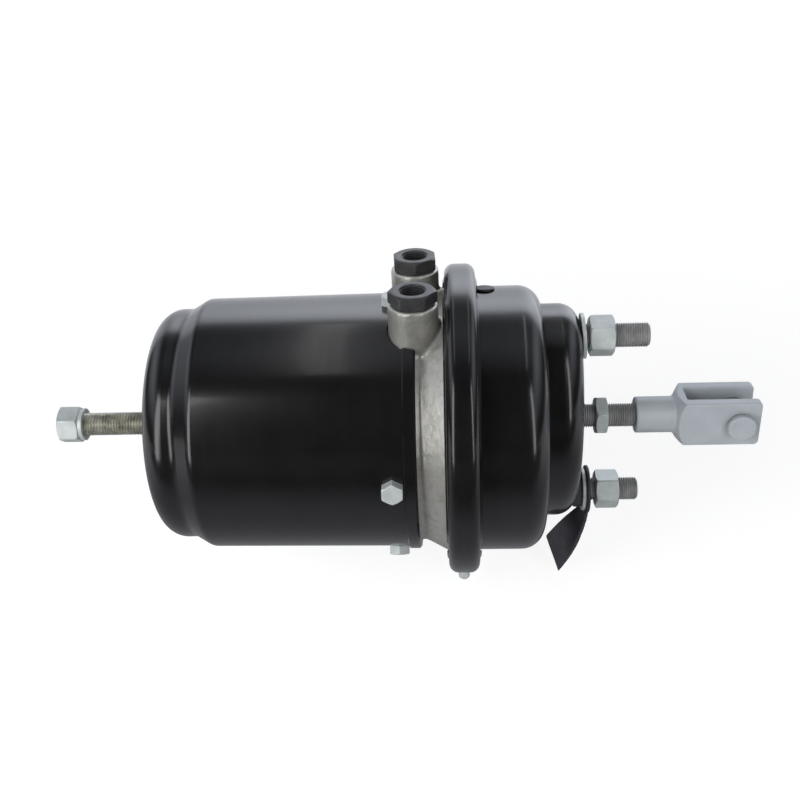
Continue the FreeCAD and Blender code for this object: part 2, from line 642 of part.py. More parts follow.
def spring_cylinder():
    """Deep-drawn can with a stepped, rounded end and a thicker rim with two notches for the port bosses."""
    t = CAN_SHEET
    can = turned([
        (CAN_END_X, BUSH_RADIUS + SLIP), (CAN_END_X, CAN_CAP_RADIUS, CAN_CAP_FILLET),
        (CAN_GROOVE_X, CAN_GROOVE_RADIUS, CAN_SHOULDER_FILLET),
        (CAN_SHOULDER_X, CAN_SHOULDER_RADIUS, CAN_SHOULDER_FILLET),
        (CAN_COLLAR_X, CAN_RIM_RADIUS), (CAN_COLLAR_X + CAN_COLLAR_CHAMFER, CAN_COLLAR_RADIUS),
        (CAN_RIM_X - CAN_COLLAR_CHAMFER, CAN_COLLAR_RADIUS),
        (CAN_RIM_X, CAN_COLLAR_RADIUS - CAN_COLLAR_CHAMFER),
        (CAN_RIM_X, CAN_BORE), (SPIGOT_REAR_X - t, CAN_BORE),
        (CAN_SHOULDER_X, CAN_SHOULDER_RADIUS - t, CAN_SHOULDER_FILLET),
        (CAN_GROOVE_X, CAN_GROOVE_RADIUS - t, CAN_SHOULDER_FILLET),
        (CAN_FLOOR_X, CAN_CAP_RADIUS - t, CAN_CAP_FILLET - t), (CAN_FLOOR_X, BUSH_RADIUS + SLIP),
    ])
    for side in port_sides():
        foot = Vec(PORT_X, side * PORT_Y, 0)
        can = can.cut(cylinder(BOSS_RADIUS + SCALLOP_GAP, foot, BOSS_TOP_Z, AXIS_Z))
    for hole in screw_holes(SPIGOT_RADIUS - SCREW_LENGTH, SCREW_RADIUS + SLIP):
        can = can.cut(hole)
    return can


def cylinder_screws():
    """Hexagon screws through the rim of the can into the casting."""
    seat = can_radius(SCREW_X)
    head = hexagon(SCREW_FLATS, SCREW_HEAD, HALF_SIDE)
    shank = cylinder(SCREW_RADIUS, Vec(-SCREW_LENGTH, 0, 0), SCREW_LENGTH)
    screw = head.fuse(shank)
    screw.rotate(ORIGIN, AXIS_Z, -90)
    screw.translate(Vec(SCREW_X, -seat - SLIP, 0))
    return Part.Compound([around_x(screw, angle) for angle in SCREW_ANGLES])


def spigot_seal():
    """Sealing ring between the casting and the can."""
    half = SEAL_SECTION / 2 - RUNNING
    inner = SPIGOT_RADIUS - SEAL_SECTION + 2 * SLIP
    return tube(CAN_BORE - RUNNING, inner, SPIGOT_GROOVE_X - half, SPIGOT_GROOVE_X + half)


def tube_guide():
    """Guide bush of the piston tube in the hub."""
    return tube(TUBE_RADIUS + GUIDE_WALL - RUNNING, TUBE_RADIUS + RUNNING, GUIDE_X, GUIDE_X + GUIDE_WIDTH)


def tube_seals():
    """Two sealing rings of the piston tube in the hub."""
    half = SEAL_SECTION / 2 - RUNNING
    outer = TUBE_RADIUS + SEAL_SECTION - RUNNING
    return Part.Compound([tube(outer, TUBE_RADIUS + RUNNING, x - half, x + half) for x in TUBE_SEAL_XS])


def port_adapter(side):
    """Hexagonal screw-in adapter with its bore countersunk at the mouth."""
    bottom = BOSS_TOP_Z - ADAPTER_THREAD_LENGTH
    turn = 0 if side < 0 else HALF_SIDE
    blank = hexagon(ADAPTER_FLATS, ADAPTER_HEX, turn)
    blank.rotate(ORIGIN, AXIS_Y, -90)
    blank.translate(Vec(0, 0, BOSS_TOP_Z + PORT_SEAL))
    shank = cylinder(ADAPTER_THREAD_RADIUS, Vec(0, 0, bottom), BOSS_TOP_Z + PORT_SEAL - bottom, AXIS_Z)
    sink = ADAPTER_MOUTH_RADIUS - ADAPTER_BORE_RADIUS
    mouth_foot = Vec(0, 0, HEX_TOP_Z - sink)
    mouth = Part.makeCone(ADAPTER_BORE_RADIUS, ADAPTER_MOUTH_RADIUS, sink, mouth_foot, AXIS_Z)
    bore = cylinder(ADAPTER_BORE_RADIUS, Vec(0, 0, bottom), HEX_TOP_Z - bottom, AXIS_Z)
    adapter = blank.fuse(shank).cut(bore).cut(mouth)
    adapter.translate(Vec(PORT_X, side * PORT_Y, 0))
    return adapter


def port_seal_rings():
    """Flat sealing ring under the hexagon of each adapter."""
    rings = []
    for side in port_sides():
        start = Vec(PORT_X, side * PORT_Y, BOSS_TOP_Z)
        outer = cylinder(PORT_SEAL_RADIUS, start, PORT_SEAL, AXIS_Z)
        rings.append(outer.cut(cylinder(ADAPTER_THREAD_RADIUS + SLIP, start, PORT_SEAL, AXIS_Z)))
    return Part.Compound(rings)


def release_bush():
    """Threaded bush in the end of the can, flanged on the inside."""
    end_x = CAN_END_X + BUSH_LENGTH
    body = tube(BUSH_RADIUS, BOLT_RADIUS + RUNNING, CAN_END_X, end_x)
    flange = tube(BUSH_FLANGE_RADIUS, BOLT_RADIUS + RUNNING, CAN_FLOOR_X, CAN_FLOOR_X + SHEET)
    return body.fuse(flange).removeSplitter()


def release_bolt():
    """Long bolt: end for the nut, shank through bush and piston, thrust collar inside the tube."""
    outer_x = BOLT_OUTER_X - RELEASE_WASHER - RELEASE_NUT - BOLT_TAIL
    return turned([
        (outer_x, 0), (outer_x, BOLT_RADIUS - EDGE), (outer_x + EDGE, BOLT_RADIUS),
        (PISTON_REST_X, BOLT_RADIUS), (PISTON_REST_X, BOLT_COLLAR_RADIUS),
        (PISTON_REST_X + BOLT_COLLAR, BOLT_COLLAR_RADIUS, EDGE),
        (PISTON_REST_X + BOLT_COLLAR, 0),
    ])


def release_nut():
    """Hexagonal nut fixed on the outer end of the release bolt."""
    x0 = BOLT_OUTER_X - RELEASE_WASHER - RELEASE_NUT
    return nut(RELEASE_FLATS, RELEASE_NUT, BOLT_RADIUS + RUNNING, x0, 0, HALF_SIDE)


def release_washer():
    """Washer between the release nut and the can."""
    x0 = BOLT_OUTER_X - RELEASE_WASHER
    return washer(RELEASE_WASHER_RADIUS, BOLT_RADIUS + RUNNING, x0, RELEASE_WASHER)


def spring_piston():
    """Disc and skirt of the piston, with grooves for the seal and the guide ring."""
    skirt_x = PISTON_REAR_X - PISTON_SKIRT
    inner = PISTON_RADIUS - PISTON_SKIRT_WALL
    disc = turned([
        (PISTON_REST_X, BOLT_RADIUS + RUNNING), (PISTON_REST_X, PISTON_RADIUS, EDGE),
        (skirt_x, PISTON_RADIUS), (skirt_x, inner), (PISTON_REAR_X, inner, SOFT_EDGE),
        (PISTON_REAR_X, BOLT_RADIUS + RUNNING),
    ])
    half = SEAL_SECTION / 2
    for x in piston_ring_xs():
        disc = disc.cut(tube(PISTON_RADIUS + SHEET, PISTON_RADIUS - SEAL_SECTION, x - half, x + half))
    return disc


def piston_ring_xs():
    """Stations of the piston's seal and guide ring."""
    return PISTON_REAR_X - PISTON_SKIRT + SEAL_SECTION, PISTON_REST_X - SEAL_SECTION


def piston_ring(x):
    """Ring that fills a groove of the piston and runs on the wall of the can."""
    half = SEAL_SECTION / 2 - RUNNING
    reach = can_radius(PISTON_REAR_X - PISTON_SKIRT) - CAN_SHEET - SOFT_GAP
    return tube(reach, PISTON_RADIUS - SEAL_SECTION + RUNNING, x - half, x + half)


def piston_tube():
    """Thrust tube on the front of the piston."""
    return tube(TUBE_RADIUS, TUBE_RADIUS - TUBE_WALL, PISTON_REST_X, TUBE_END_X)


def tube_plug():
    """Plug in the front end of the tube, which pushes on the diaphragm."""
    pilot = cylinder(TUBE_RADIUS - TUBE_WALL - RUNNING, Vec(TUBE_END_X - PLUG_PILOT, 0, 0), PLUG_PILOT)
    return pilot.fuse(cylinder(TUBE_RADIUS, Vec(TUBE_END_X, 0, 0), PLUG_FLANGE))


def coil(wire_radius, radius_rear, radius_front, turns, x0, x1):
    """Coil spring along X between two seats, its ends ground flat, drawn from its narrow end."""
    length = x1 - x0 - wire_radius
    narrow, wide = sorted((radius_rear, radius_front))
    angle = math.degrees(math.atan2(wide - narrow, length))
    helix = Part.makeHelix(length / turns, length, narrow, angle)
    circle = Part.Wire(Part.makeCircle(wire_radius, Vec(narrow, 0, 0), AXIS_Y))
    spring = Part.Wire(helix.Edges).makePipeShell([circle], True, True)
    from_rear = radius_rear <= radius_front
    spring.rotate(ORIGIN, AXIS_Y, 90 if from_rear else -90)
    spring.translate(Vec(x0 + wire_radius / 2 if from_rear else x1 - wire_radius / 2, 0, 0))
    return spring.common(cylinder(2 * wide, Vec(x0, 0, 0), x1 - x0))


def power_spring():
    """Heavy parking spring, wound up between the end of the can and the piston."""
    return coil(
        POWER_WIRE_RADIUS, POWER_RADIUS, POWER_RADIUS, POWER_TURNS,
        CAN_FLOOR_X + SLIP, PISTON_REAR_X - SLIP,
    )


def return_spring():
    """Conical return spring between the push plate and the stud plate."""
    return coil(
        RETURN_WIRE_RADIUS, RETURN_RADIUS_REAR, RETURN_RADIUS_FRONT, RETURN_TURNS,
        PLATE_X + PLATE + SLIP, STUD_PLATE_X - SLIP,
    )


def diaphragm():
    """Moulded diaphragm, drawn back into the bowl, its bead between the two lips."""
    rear, t = DIAPHRAGM_X, DIAPHRAGM
    slope = math.hypot(DIAPHRAGM_ROOT_RADIUS - DIAPHRAGM_FLAT_RADIUS, BEAD_FRONT_X - rear - t)
    shift = t * (slope - (DIAPHRAGM_ROOT_RADIUS - DIAPHRAGM_FLAT_RADIUS)) / (BEAD_FRONT_X - rear - t)
    bead = LIP_RADIUS - SOFT_GAP
    return turned([
        (rear, 0), (rear, DIAPHRAGM_FLAT_RADIUS + shift, DIAPHRAGM_BEND),
        (BEAD_REAR_X, DIAPHRAGM_ROOT_RADIUS + shift, DIAPHRAGM_BEND - t),
        (BEAD_REAR_X, bead), (BEAD_FRONT_X, bead), (BEAD_FRONT_X, DIAPHRAGM_ROOT_RADIUS, DIAPHRAGM_BEND),
        (rear + t, DIAPHRAGM_FLAT_RADIUS, DIAPHRAGM_BEND - t), (rear + t, 0),
    ])


def push_plate():
    """Plate that the diaphragm pushes on, with a hub for the rod."""
    front = PLATE_X + PLATE
    return turned([
        (PLATE_X, 0), (PLATE_X, PLATE_RADIUS, EDGE), (front, PLATE_RADIUS, EDGE),
        (front, PLATE_HUB_RADIUS, SOFT_EDGE), (front + PLATE_HUB, PLATE_HUB_RADIUS - SOFT_EDGE),
        (front + PLATE_HUB, ROD_RADIUS + RUNNING),
        (front, ROD_RADIUS + RUNNING), (front, 0),
    ])


def push_rod():
    """Threaded rod from the push plate into the clevis."""
    start = PLATE_X + PLATE
    return turned([
        (start, 0), (start, ROD_RADIUS), (ROD_END_X - EDGE, ROD_RADIUS), (ROD_END_X, ROD_RADIUS - EDGE),
        (ROD_END_X, 0),
    ])


def jam_nut():
    """Thin nut on the push rod."""
    return nut(JAM_NUT_FLATS, JAM_NUT, ROD_RADIUS + RUNNING, JAM_NUT_X, 0, HALF_SIDE)


def clevis():
    """Fork with a round socket, turned shoulder, square body, slot and cross bore."""
    half_w, half_h = CLEVIS_WIDTH / 2, CLEVIS_HEIGHT / 2
    reach = math.hypot(half_w, half_h)
    rear = Vec(CLEVIS_X, -half_w, -half_h)
    block = Part.makeBox(CLEVIS_END_X - CLEVIS_X, CLEVIS_WIDTH, CLEVIS_HEIGHT, rear)
    tips = [
        e for e in block.Edges
        if e.BoundBox.XMin > CLEVIS_END_X - RUNNING and e.BoundBox.YLength > half_w
    ]
    block = block.makeFillet(CLEVIS_TIP_FILLET, tips)
    blank = turned([
        (CLEVIS_X, 0), (CLEVIS_X, CLEVIS_SOCKET_RADIUS, EDGE),
        (CLEVIS_NECK_X, CLEVIS_SOCKET_RADIUS, SOFT_EDGE),
        (CLEVIS_BODY_X, reach), (CLEVIS_END_X, reach), (CLEVIS_END_X, 0),
    ])
    fork = block.common(blank)
    corner = Vec(CLEVIS_SLOT_X, -CLEVIS_SLOT / 2, -CLEVIS_HEIGHT)
    fork = fork.cut(Part.makeBox(CLEVIS_END_X - CLEVIS_SLOT_X, CLEVIS_SLOT, 2 * CLEVIS_HEIGHT, corner))
    fork = fork.cut(cylinder(ROD_RADIUS + RUNNING, Vec(CLEVIS_X, 0, 0), CLEVIS_SLOT_X - CLEVIS_X))
    return fork.cut(cylinder(PIN_RADIUS + RUNNING, Vec(PIN_X, -CLEVIS_WIDTH, 0), 2 * CLEVIS_WIDTH, AXIS_Y))


def split_y():
    """Station of the split pin on the far end of the clevis pin."""
    return CLEVIS_WIDTH / 2 + SLIP + PIN_WASHER + SPLIT_RADIUS + SLIP


def clevis_pin():
    """Headed pin through the fork, cross-drilled for the split pin."""
    head_y = -CLEVIS_WIDTH / 2 - SLIP
    head = cylinder(PIN_HEAD_RADIUS, Vec(PIN_X, head_y - PIN_HEAD, 0), PIN_HEAD, AXIS_Y)
    boxes = [(e, e.BoundBox) for e in head.Edges]
    rim = [e for e, box in boxes if box.YMax < head_y - PIN_HEAD / 2 and box.XLength > PIN_HEAD]
    head = head.makeChamfer(EDGE, rim)
    length = CLEVIS_WIDTH + 2 * SLIP + PIN_WASHER + PIN_TAIL
    shank = cylinder(PIN_RADIUS, Vec(PIN_X, head_y, 0), length, AXIS_Y)
    rear = Vec(PIN_X - PIN_HEAD_RADIUS, split_y(), 0)
    bore = cylinder(SPLIT_RADIUS + RUNNING, rear, 2 * PIN_HEAD_RADIUS)
    return head.fuse(shank).cut(bore)


def pin_washer():
    """Flat washer between the fork and the split pin."""
    ring = cylinder(PIN_WASHER_RADIUS, Vec(PIN_X, CLEVIS_WIDTH / 2 + SLIP, 0), PIN_WASHER, AXIS_Y)
    return ring.cut(cylinder(PIN_RADIUS + RUNNING, Vec(PIN_X, 0, 0), CLEVIS_WIDTH, AXIS_Y))


def split_pin():
    """Split pin through the clevis pin: a leg and an eye."""
    leg = cylinder(SPLIT_RADIUS, Vec(PIN_X - SPLIT_LENGTH / 2, split_y(), 0), SPLIT_LENGTH)
    centre = Vec(PIN_X - SPLIT_LENGTH / 2 - SPLIT_EYE_RADIUS, split_y(), 0)
    eye = Part.makeTorus(SPLIT_EYE_RADIUS, SPLIT_EYE_WIRE, centre, AXIS_Y)
    return leg.fuse(eye)


def write(node, shape):
    """Writes one sub-part to its own file."""
    shape.exportStep("parts/%s.step" % node)


def main():
    os.makedirs("parts", exist_ok=True)
    seal_x, guide_x = piston_ring_xs()
    pieces = {
        "front_housing": front_housing(),
        "vent_plug": vent_plug(),
        "rod_guide": rod_guide(),
        "stud_plate": stud_plate(),
        "mounting_studs": mounting_studs(),
        "stud_nuts": stud_nuts(),
        "stud_washers": stud_washers(),
        "stud_grommet": stud_grommet(),
        "stud_strap": stud_strap(),
        "clamp_ring": clamp_ring(),
        "clamp_bolt": clamp_bolt(),
        "diaphragm": diaphragm(),
        "intermediate_flange": intermediate_flange(),
        "spigot_seal": spigot_seal(),
        "tube_guide": tube_guide(),
        "tube_seals": tube_seals(),
        "port_adapter_service": port_adapter(-1),
        "port_adapter_spring": port_adapter(1),
        "port_seal_rings": port_seal_rings(),
        "spring_cylinder": spring_cylinder(),
        "cylinder_screws": cylinder_screws(),
        "release_bush": release_bush(),
        "power_spring": power_spring(),
        "return_spring": return_spring(),
        "spring_piston": spring_piston(),
        "piston_seal": piston_ring(seal_x),
        "piston_guide_ring": piston_ring(guide_x),
        "piston_tube": piston_tube(),
        "tube_plug": tube_plug(),
        "release_bolt": release_bolt(),
        "release_nut": release_nut(),
        "release_washer": release_washer(),
        "push_plate": push_plate(),
        "push_rod": push_rod(),
        "jam_nut": jam_nut(),
        "clevis": clevis(),
        "clevis_pin": clevis_pin(),
        "pin_washer": pin_washer(),
        "split_pin": split_pin(),
    }
    for node, shape in pieces.items():
        write(node, shape)


main()
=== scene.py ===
"""Looks of the spring brake chamber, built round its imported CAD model.

Metres. X runs along the push rod towards the clevis, X = 0 is the mounting face and Z is up.
"""
import json
import math
import bmesh
import bpy
from mathutils import Matrix, Vector


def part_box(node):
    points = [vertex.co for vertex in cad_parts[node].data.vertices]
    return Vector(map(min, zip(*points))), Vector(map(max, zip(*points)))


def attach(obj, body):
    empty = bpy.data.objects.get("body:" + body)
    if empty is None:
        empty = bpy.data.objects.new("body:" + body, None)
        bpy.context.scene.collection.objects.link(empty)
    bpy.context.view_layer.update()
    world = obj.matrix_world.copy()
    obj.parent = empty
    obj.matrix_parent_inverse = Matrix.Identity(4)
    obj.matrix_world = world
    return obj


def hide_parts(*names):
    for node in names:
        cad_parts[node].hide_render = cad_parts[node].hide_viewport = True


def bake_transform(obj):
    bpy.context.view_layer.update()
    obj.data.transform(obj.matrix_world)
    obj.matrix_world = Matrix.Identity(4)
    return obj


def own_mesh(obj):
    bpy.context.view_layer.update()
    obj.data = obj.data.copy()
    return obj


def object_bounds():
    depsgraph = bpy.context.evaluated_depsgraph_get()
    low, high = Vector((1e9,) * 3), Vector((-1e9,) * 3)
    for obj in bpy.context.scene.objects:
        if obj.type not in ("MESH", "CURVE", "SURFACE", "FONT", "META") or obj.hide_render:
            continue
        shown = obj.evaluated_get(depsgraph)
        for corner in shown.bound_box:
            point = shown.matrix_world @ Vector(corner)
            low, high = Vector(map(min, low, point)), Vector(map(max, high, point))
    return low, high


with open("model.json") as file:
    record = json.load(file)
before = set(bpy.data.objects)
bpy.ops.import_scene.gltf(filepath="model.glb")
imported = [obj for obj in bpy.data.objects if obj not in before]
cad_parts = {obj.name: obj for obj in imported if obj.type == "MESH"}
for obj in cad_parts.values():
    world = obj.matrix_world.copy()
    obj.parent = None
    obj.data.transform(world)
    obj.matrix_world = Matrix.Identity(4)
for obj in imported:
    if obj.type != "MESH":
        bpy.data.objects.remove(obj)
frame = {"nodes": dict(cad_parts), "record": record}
CAD_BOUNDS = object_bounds()
MM = 0.001
AXIS_Y = Vector((0, 1, 0))
AXIS_Z = Vector((0, 0, 1))
SIXTH = math.pi / 3

# Camera, as the photograph was taken
CAMERA_AZIMUTH = math.radians(3.36)
CAMERA_ELEVATION = math.radians(29.37)
CAMERA_ROLL = math.radians(2.71)
CAMERA_DISTANCE = 0.7099
CAMERA_TARGET = Vector((-0.11923, 0.0, 0.01477))
FOCAL_PIXELS = 1043.26
IMAGE_PIXELS = 800.0
SENSOR = 36.0

# Fineness of the turned meshes
HEX_SEGMENTS = 192
ROUND_SEGMENTS = 96
THREAD_SEGMENTS = 60
ARC_STEPS = 8
CHAMFER_STEPS = 8

# Edges
WELD = MM / 1000
SHARP_ANGLE = math.radians(40.0)
ROUND_EDGE = 1.0 * MM

# Hexagons
HEX_SHARPNESS = 70.0
HEX_FACE = 0.97
CHAMFER_SLOPE = math.tan(math.radians(62.0))
BORE_BREAK = 0.6 * MM

# Threads
PITCH = 1.5 * MM
RELEASE_PITCH = 2.0 * MM
SCREW_PITCH = 1.25 * MM
THREAD_DEPTH = 0.6
THREAD_STEPS = 7
BROKEN_END = 1.2 * MM

# Studs, push rod and release bolt: sizes across flats and turns of the nuts about their axes
STUD_RADIUS = 8.0 * MM
STUD_CORE = 7.1 * MM
STUD_HEAD = 5.0 * MM
STUD_NUT_FLATS = 24.0 * MM
STUD_NUT_LENGTH = 16.0 * MM
UPPER_NUT_TURN = math.radians(45.1)
LOWER_NUT_TURN = math.radians(-3.6)
JAM_NUT_TURN = math.radians(30.0)
ROD_THREAD_X = -16.0 * MM
RELEASE_NUT_FLATS = 23.0 * MM
RELEASE_NUT_LENGTH = 14.5 * MM
RELEASE_NUT_TURN = math.radians(39.4)
RELEASE_COLLAR_X = -192.0 * MM
RELEASE_COLLAR_EDGE = 0.5 * MM
RELEASE_INSET = 1.0 * MM

# Washers
WASHER = 2.5 * MM
WASHER_HOLE = 8.7 * MM
WASHER_LEAN = math.radians(3.5)
WASHER_EDGE = 0.5 * MM

# Screws round the can's rim, and the clamp ring's bolt
SCREW_FLATS = 13.0 * MM
SCREW_FACE = 0.94
SCREW_ANGLES = [math.radians(a) for a in (0.0, -60.0, -120.0, 180.0, 90.0)]
SCREW_HEAD = 6.2 * MM
SCREW_SHANK = 4.0 * MM
SCREW_LENGTH = 8.8 * MM
CLAMP_BOLT_SHANK = 4.0 * MM
CLAMP_BOLT_HEAD = 5.3 * MM

# Port adapters
ADAPTER_FLATS = 27.0 * MM
ADAPTER_HEX = 7.8 * MM
ADAPTER_SHANK = 11.0 * MM
ADAPTER_BORE = 7.7 * MM
ADAPTER_MOUTH = 8.5 * MM
SERVICE_TURN = math.radians(30.0)
SPRING_TURN = math.radians(-4.0)

# Clevis and its pin
FORK_SLOT = 16.0 * MM
TIP_BLOCK = 7.0 * MM
TIP_FILLET = 3.0 * MM
PIN_STANDOFF = 2.6 * MM
PIN_HEAD = 4.0 * MM
PIN_HEAD_RADIUS = 9.3 * MM
PIN_HEAD_EDGE = 1.2 * MM
PIN_RADIUS = 6.95 * MM
PIN_EDGE = 0.5 * MM

# Breather plug in the side of the cup
VENT_ANGLE = math.radians(100.0)
VENT_TOP = 90.9 * MM
VENT_HEAD = 1.4 * MM
VENT_DEPTH = 5.0 * MM
VENT_RADIUS = 7.0 * MM
VENT_STEM = 5.0 * MM

# Rubber strap under the lower stud
STRAP_THICKNESS = 2.8 * MM
STRAP_EYE_RADIUS = 17.0 * MM
STRAP_OVERLAP = 2.0 * MM
STRAP_ROOT_WIDTH = 15.0 * MM
STRAP_END_WIDTH = 31.0 * MM
STRAP_BACK = 22.9 * MM
STRAP_SWAY = 6.0 * MM
STRAP_DROP = 37.5 * MM
STRAP_BEND = 1.3
STRAP_TWIST = math.radians(85.0)
STRAP_CUT = math.radians(18.0)
STRAP_STEPS = 24

# Skins drawn over a mesh: voxel size and rounds of smoothing
CAST_VOXEL = 1.3 * MM
CAST_ROUNDS = 7
CAST_GRAIN = 0.35 * MM
CAST_GRAIN_SIZE = 3.0 * MM
FORGED_VOXEL = 0.6 * MM
FORGED_ROUNDS = 5
MOULDED_VOXEL = 0.6 * MM
MOULDED_ROUNDS = 3
SMOOTHING = 0.5

# Finishes: colours as red, green and blue, and the range that most of a noise's values lie in
CLOUD_START = 0.3
CLOUD_STOP = 0.7
PAINT_STOPS = ((0.35, (0.0036, 0.0036, 0.0040)), (0.75, (0.0066, 0.0065, 0.0070)))
PAINT_COAT = 0.35
PAINT_COAT_ROUGHNESS = 0.1
CAST_STOPS = ((0.32, (0.41, 0.405, 0.375)), (0.68, (0.60, 0.59, 0.55)))
CAST_GRIME = (0.24, 0.235, 0.2)
CAST_RIDGE = (0.62, 0.61, 0.57)
CAST_METALLIC = 0.8
GREY_DARK = (0.36, 0.39, 0.42)
GREY_PALE = (0.42, 0.45, 0.475)
GREY_KNOCK = (0.20, 0.215, 0.23)
GREY_METALLIC = 0.15

# Sky, which brightens towards the rear: stops from 0 (direction -1) to 1 (direction +1)
SKY_STRENGTH = 3.2
SKY_SHARE = 0.42
SKY_TINT = (0.88, 0.92, 1.0)
SKY_BANDS = (
    (0.30, 0.01), (0.42, 0.07), (0.52, 0.115), (0.72, 0.07), (0.80, 0.13), (0.85, 0.95),
    (0.90, 0.95), (1.0, 0.28),
)
SKY_ENDS = ((0.10, 0.30), (0.30, 0.38), (0.44, 0.95), (0.50, 1.0), (0.72, 1.0), (0.90, 0.30))
END_GLOW = 0.35
END_GLOW_START = 0.50
END_GLOW_STOP = 0.75
END_GLOW_LOW = 0.20
END_GLOW_HIGH = 0.60

# Lamps: name, place, direction of the second side, size, watts, and whether gloss shows it
LAMPS = (
    ("left_rail", (-0.295, 0.1, 1.0), AXIS_Y, (0.07, 1.0), 0.35, True),
    ("right_rail", (0.16, 0.1, 1.0), AXIS_Y, (0.05, 1.0), 0.30, True),
    ("left_strip", (-0.78, -0.87, 0.42), AXIS_Z, (0.34, 1.2), 4.8, True),
    ("right_strip", (0.62, -0.95, 0.50), AXIS_Z, (0.20, 1.2), 2.8, True),
    ("front_fill", (0.30, -1.15, 0.35), AXIS_Z, (0.8, 0.8), 5.0, False),
    ("left_fill", (-1.05, -0.75, 0.35), AXIS_Z, (0.7, 0.7), 9.0, False),
)

# Floor: white that grows with the distance, and what gloss shows of it, darker in front
FLOOR_GAP = 2.0 * MM
FLOOR_REACH = 6.0
WHITE_NEAR = 0.80
WHITE_FAR = 0.94
WHITE_START = 0.30
WHITE_STOP = 1.2
FLOOR_PALE = (0.8, 0.8, 0.8)
FLOOR_SHADE = (0.36, 0.36, 0.36)
TABLE_NEAR = 0.30
TABLE_FAR = 0.85
TABLE_START = 0.30
TABLE_STOP = 0.65
TABLE_TINT = (0.93, 0.94, 1.0)
DARK_Y = -3.0
DARK_SHARE = 0.1
DARK_START = 2.66
DARK_STOP = 2.83


def mesh_object(name, vertices, faces, smooth=True):
    """New mesh object in the scene."""
    mesh = bpy.data.meshes.new(name)
    mesh.from_pydata([tuple(v) for v in vertices], [], faces)
    mesh.validate()
    piece = bpy.data.objects.new(name, mesh)
    bpy.context.scene.collection.objects.link(piece)
    mesh.polygons.foreach_set("use_smooth", [smooth] * len(mesh.polygons))
    return piece


def copy_of(name, source):
    """New object with a copy of another's mesh."""
    piece = bpy.data.objects.new(name, source.data.copy())
    bpy.context.scene.collection.objects.link(piece)
    return piece


def apply_modifiers(piece):
    """Bakes the modifiers of a piece into its mesh."""
    graph = bpy.context.evaluated_depsgraph_get()
    mesh = bpy.data.meshes.new_from_object(piece.evaluated_get(graph))
    piece.modifiers.clear()
    piece.data = mesh
    return piece


def outward(piece):
    """Welds a mesh, turns its faces outwards and keeps its edges sharp."""
    sculpt = bmesh.new()
    sculpt.from_mesh(piece.data)
    bmesh.ops.remove_doubles(sculpt, verts=sculpt.verts, dist=WELD)
    bmesh.ops.recalc_face_normals(sculpt, faces=sculpt.faces)
    sculpt.to_mesh(piece.data)
    sculpt.free()
    piece.data.set_sharp_from_angle(angle=SHARP_ANGLE)
    return piece


def joined(name, pieces):
    """One mesh from several pieces."""
    sculpt = bmesh.new()
    for piece in pieces:
        sculpt.from_mesh(piece.data)
    mesh = bpy.data.meshes.new(name)
    sculpt.to_mesh(mesh)
    sculpt.free()
    for piece in pieces:
        bpy.data.objects.remove(piece)
    whole = bpy.data.objects.new(name, mesh)
    bpy.context.scene.collection.objects.link(whole)
    return whole


def moved(piece, matrix):
    """Moves the mesh itself, so that the object stays at the origin."""
    piece.data.transform(matrix)
    return piece


def shifted(piece, x=0.0, y=0.0, z=0.0):
    """Moves the mesh along the axes."""
    return moved(piece, Matrix.Translation((x, y, z)))


def rounded(points):
    """Points of an outline given as (x, r) or (x, r, fillet), its corners turned into arcs."""
    outline = []
    count = len(points)
    for i, point in enumerate(points):
        corner = Vector(point[:2])
        fillet = point[2] if len(point) > 2 else 0.0
        if not fillet:
            outline.append(corner)
            continue
        before = (Vector(points[i - 1][:2]) - corner).normalized()
        after = (Vector(points[(i + 1) % count][:2]) - corner).normalized()
        half = before.angle(after) / 2
        centre = corner + (before + after).normalized() * (fillet / math.sin(half))
        start = corner + before * (fillet / math.tan(half)) - centre
        stop = corner + after * (fillet / math.tan(half)) - centre
        sweep = start.angle_signed(stop)
        for k in range(ARC_STEPS + 1):
            outline.append(centre + Matrix.Rotation(-sweep * k / ARC_STEPS, 2) @ start)
    return outline


def around(x, radius, angle):
    """Point at a radius round the X axis: angle 0 is -Y and a quarter turn is +Z."""
    return Vector((x, -radius * math.cos(angle), radius * math.sin(angle)))


def loft(name, rings, segments, closed):
    """Mesh through rings, each a function of the angle that gives (x, radius)."""
    vertices = []
    for ring in rings:
        for j in range(segments):
            angle = math.tau * j / segments
            x, radius = ring(angle)
            vertices.append(around(x, radius, angle))
    faces = []
    spans = len(rings) if closed else len(rings) - 1
    for i in range(spans):
        a, b = i * segments, (i + 1) % len(rings) * segments
        for j in range(segments):
            k = (j + 1) % segments
            faces.append((a + j, a + k, b + k, b + j))
    if not closed:
        faces.append(tuple(reversed(range(segments))))
        faces.append(tuple(range((len(rings) - 1) * segments, len(rings) * segments)))
    return outward(mesh_object(name, vertices, faces))


def plain_ring(x, radius):
    """Round ring for a loft."""
    return lambda angle: (x, radius)


def lathe(name, points, closed=True, segments=ROUND_SEGMENTS):
    """Solid of revolution from an (x, r[, fillet]) outline."""
    return loft(name, [plain_ring(*p) for p in rounded(points)], segments, closed)


# Hexagons and threads

def hexagon(angle, flats, turn):
    """Radius of a hexagon with corners slightly rounded."""
    total = 0.0
    for k in range(6):
        total += max(0.0, math.cos(angle - turn - (k + 0.5) * SIXTH)) ** HEX_SHARPNESS
    return flats / 2 * total ** (-1 / HEX_SHARPNESS)


def hex_ring(x, flats, turn, limit):
    """Hexagonal ring for a loft, cut by a cone that is so wide here."""
    return lambda angle: (x, min(hexagon(angle, flats, turn), limit))


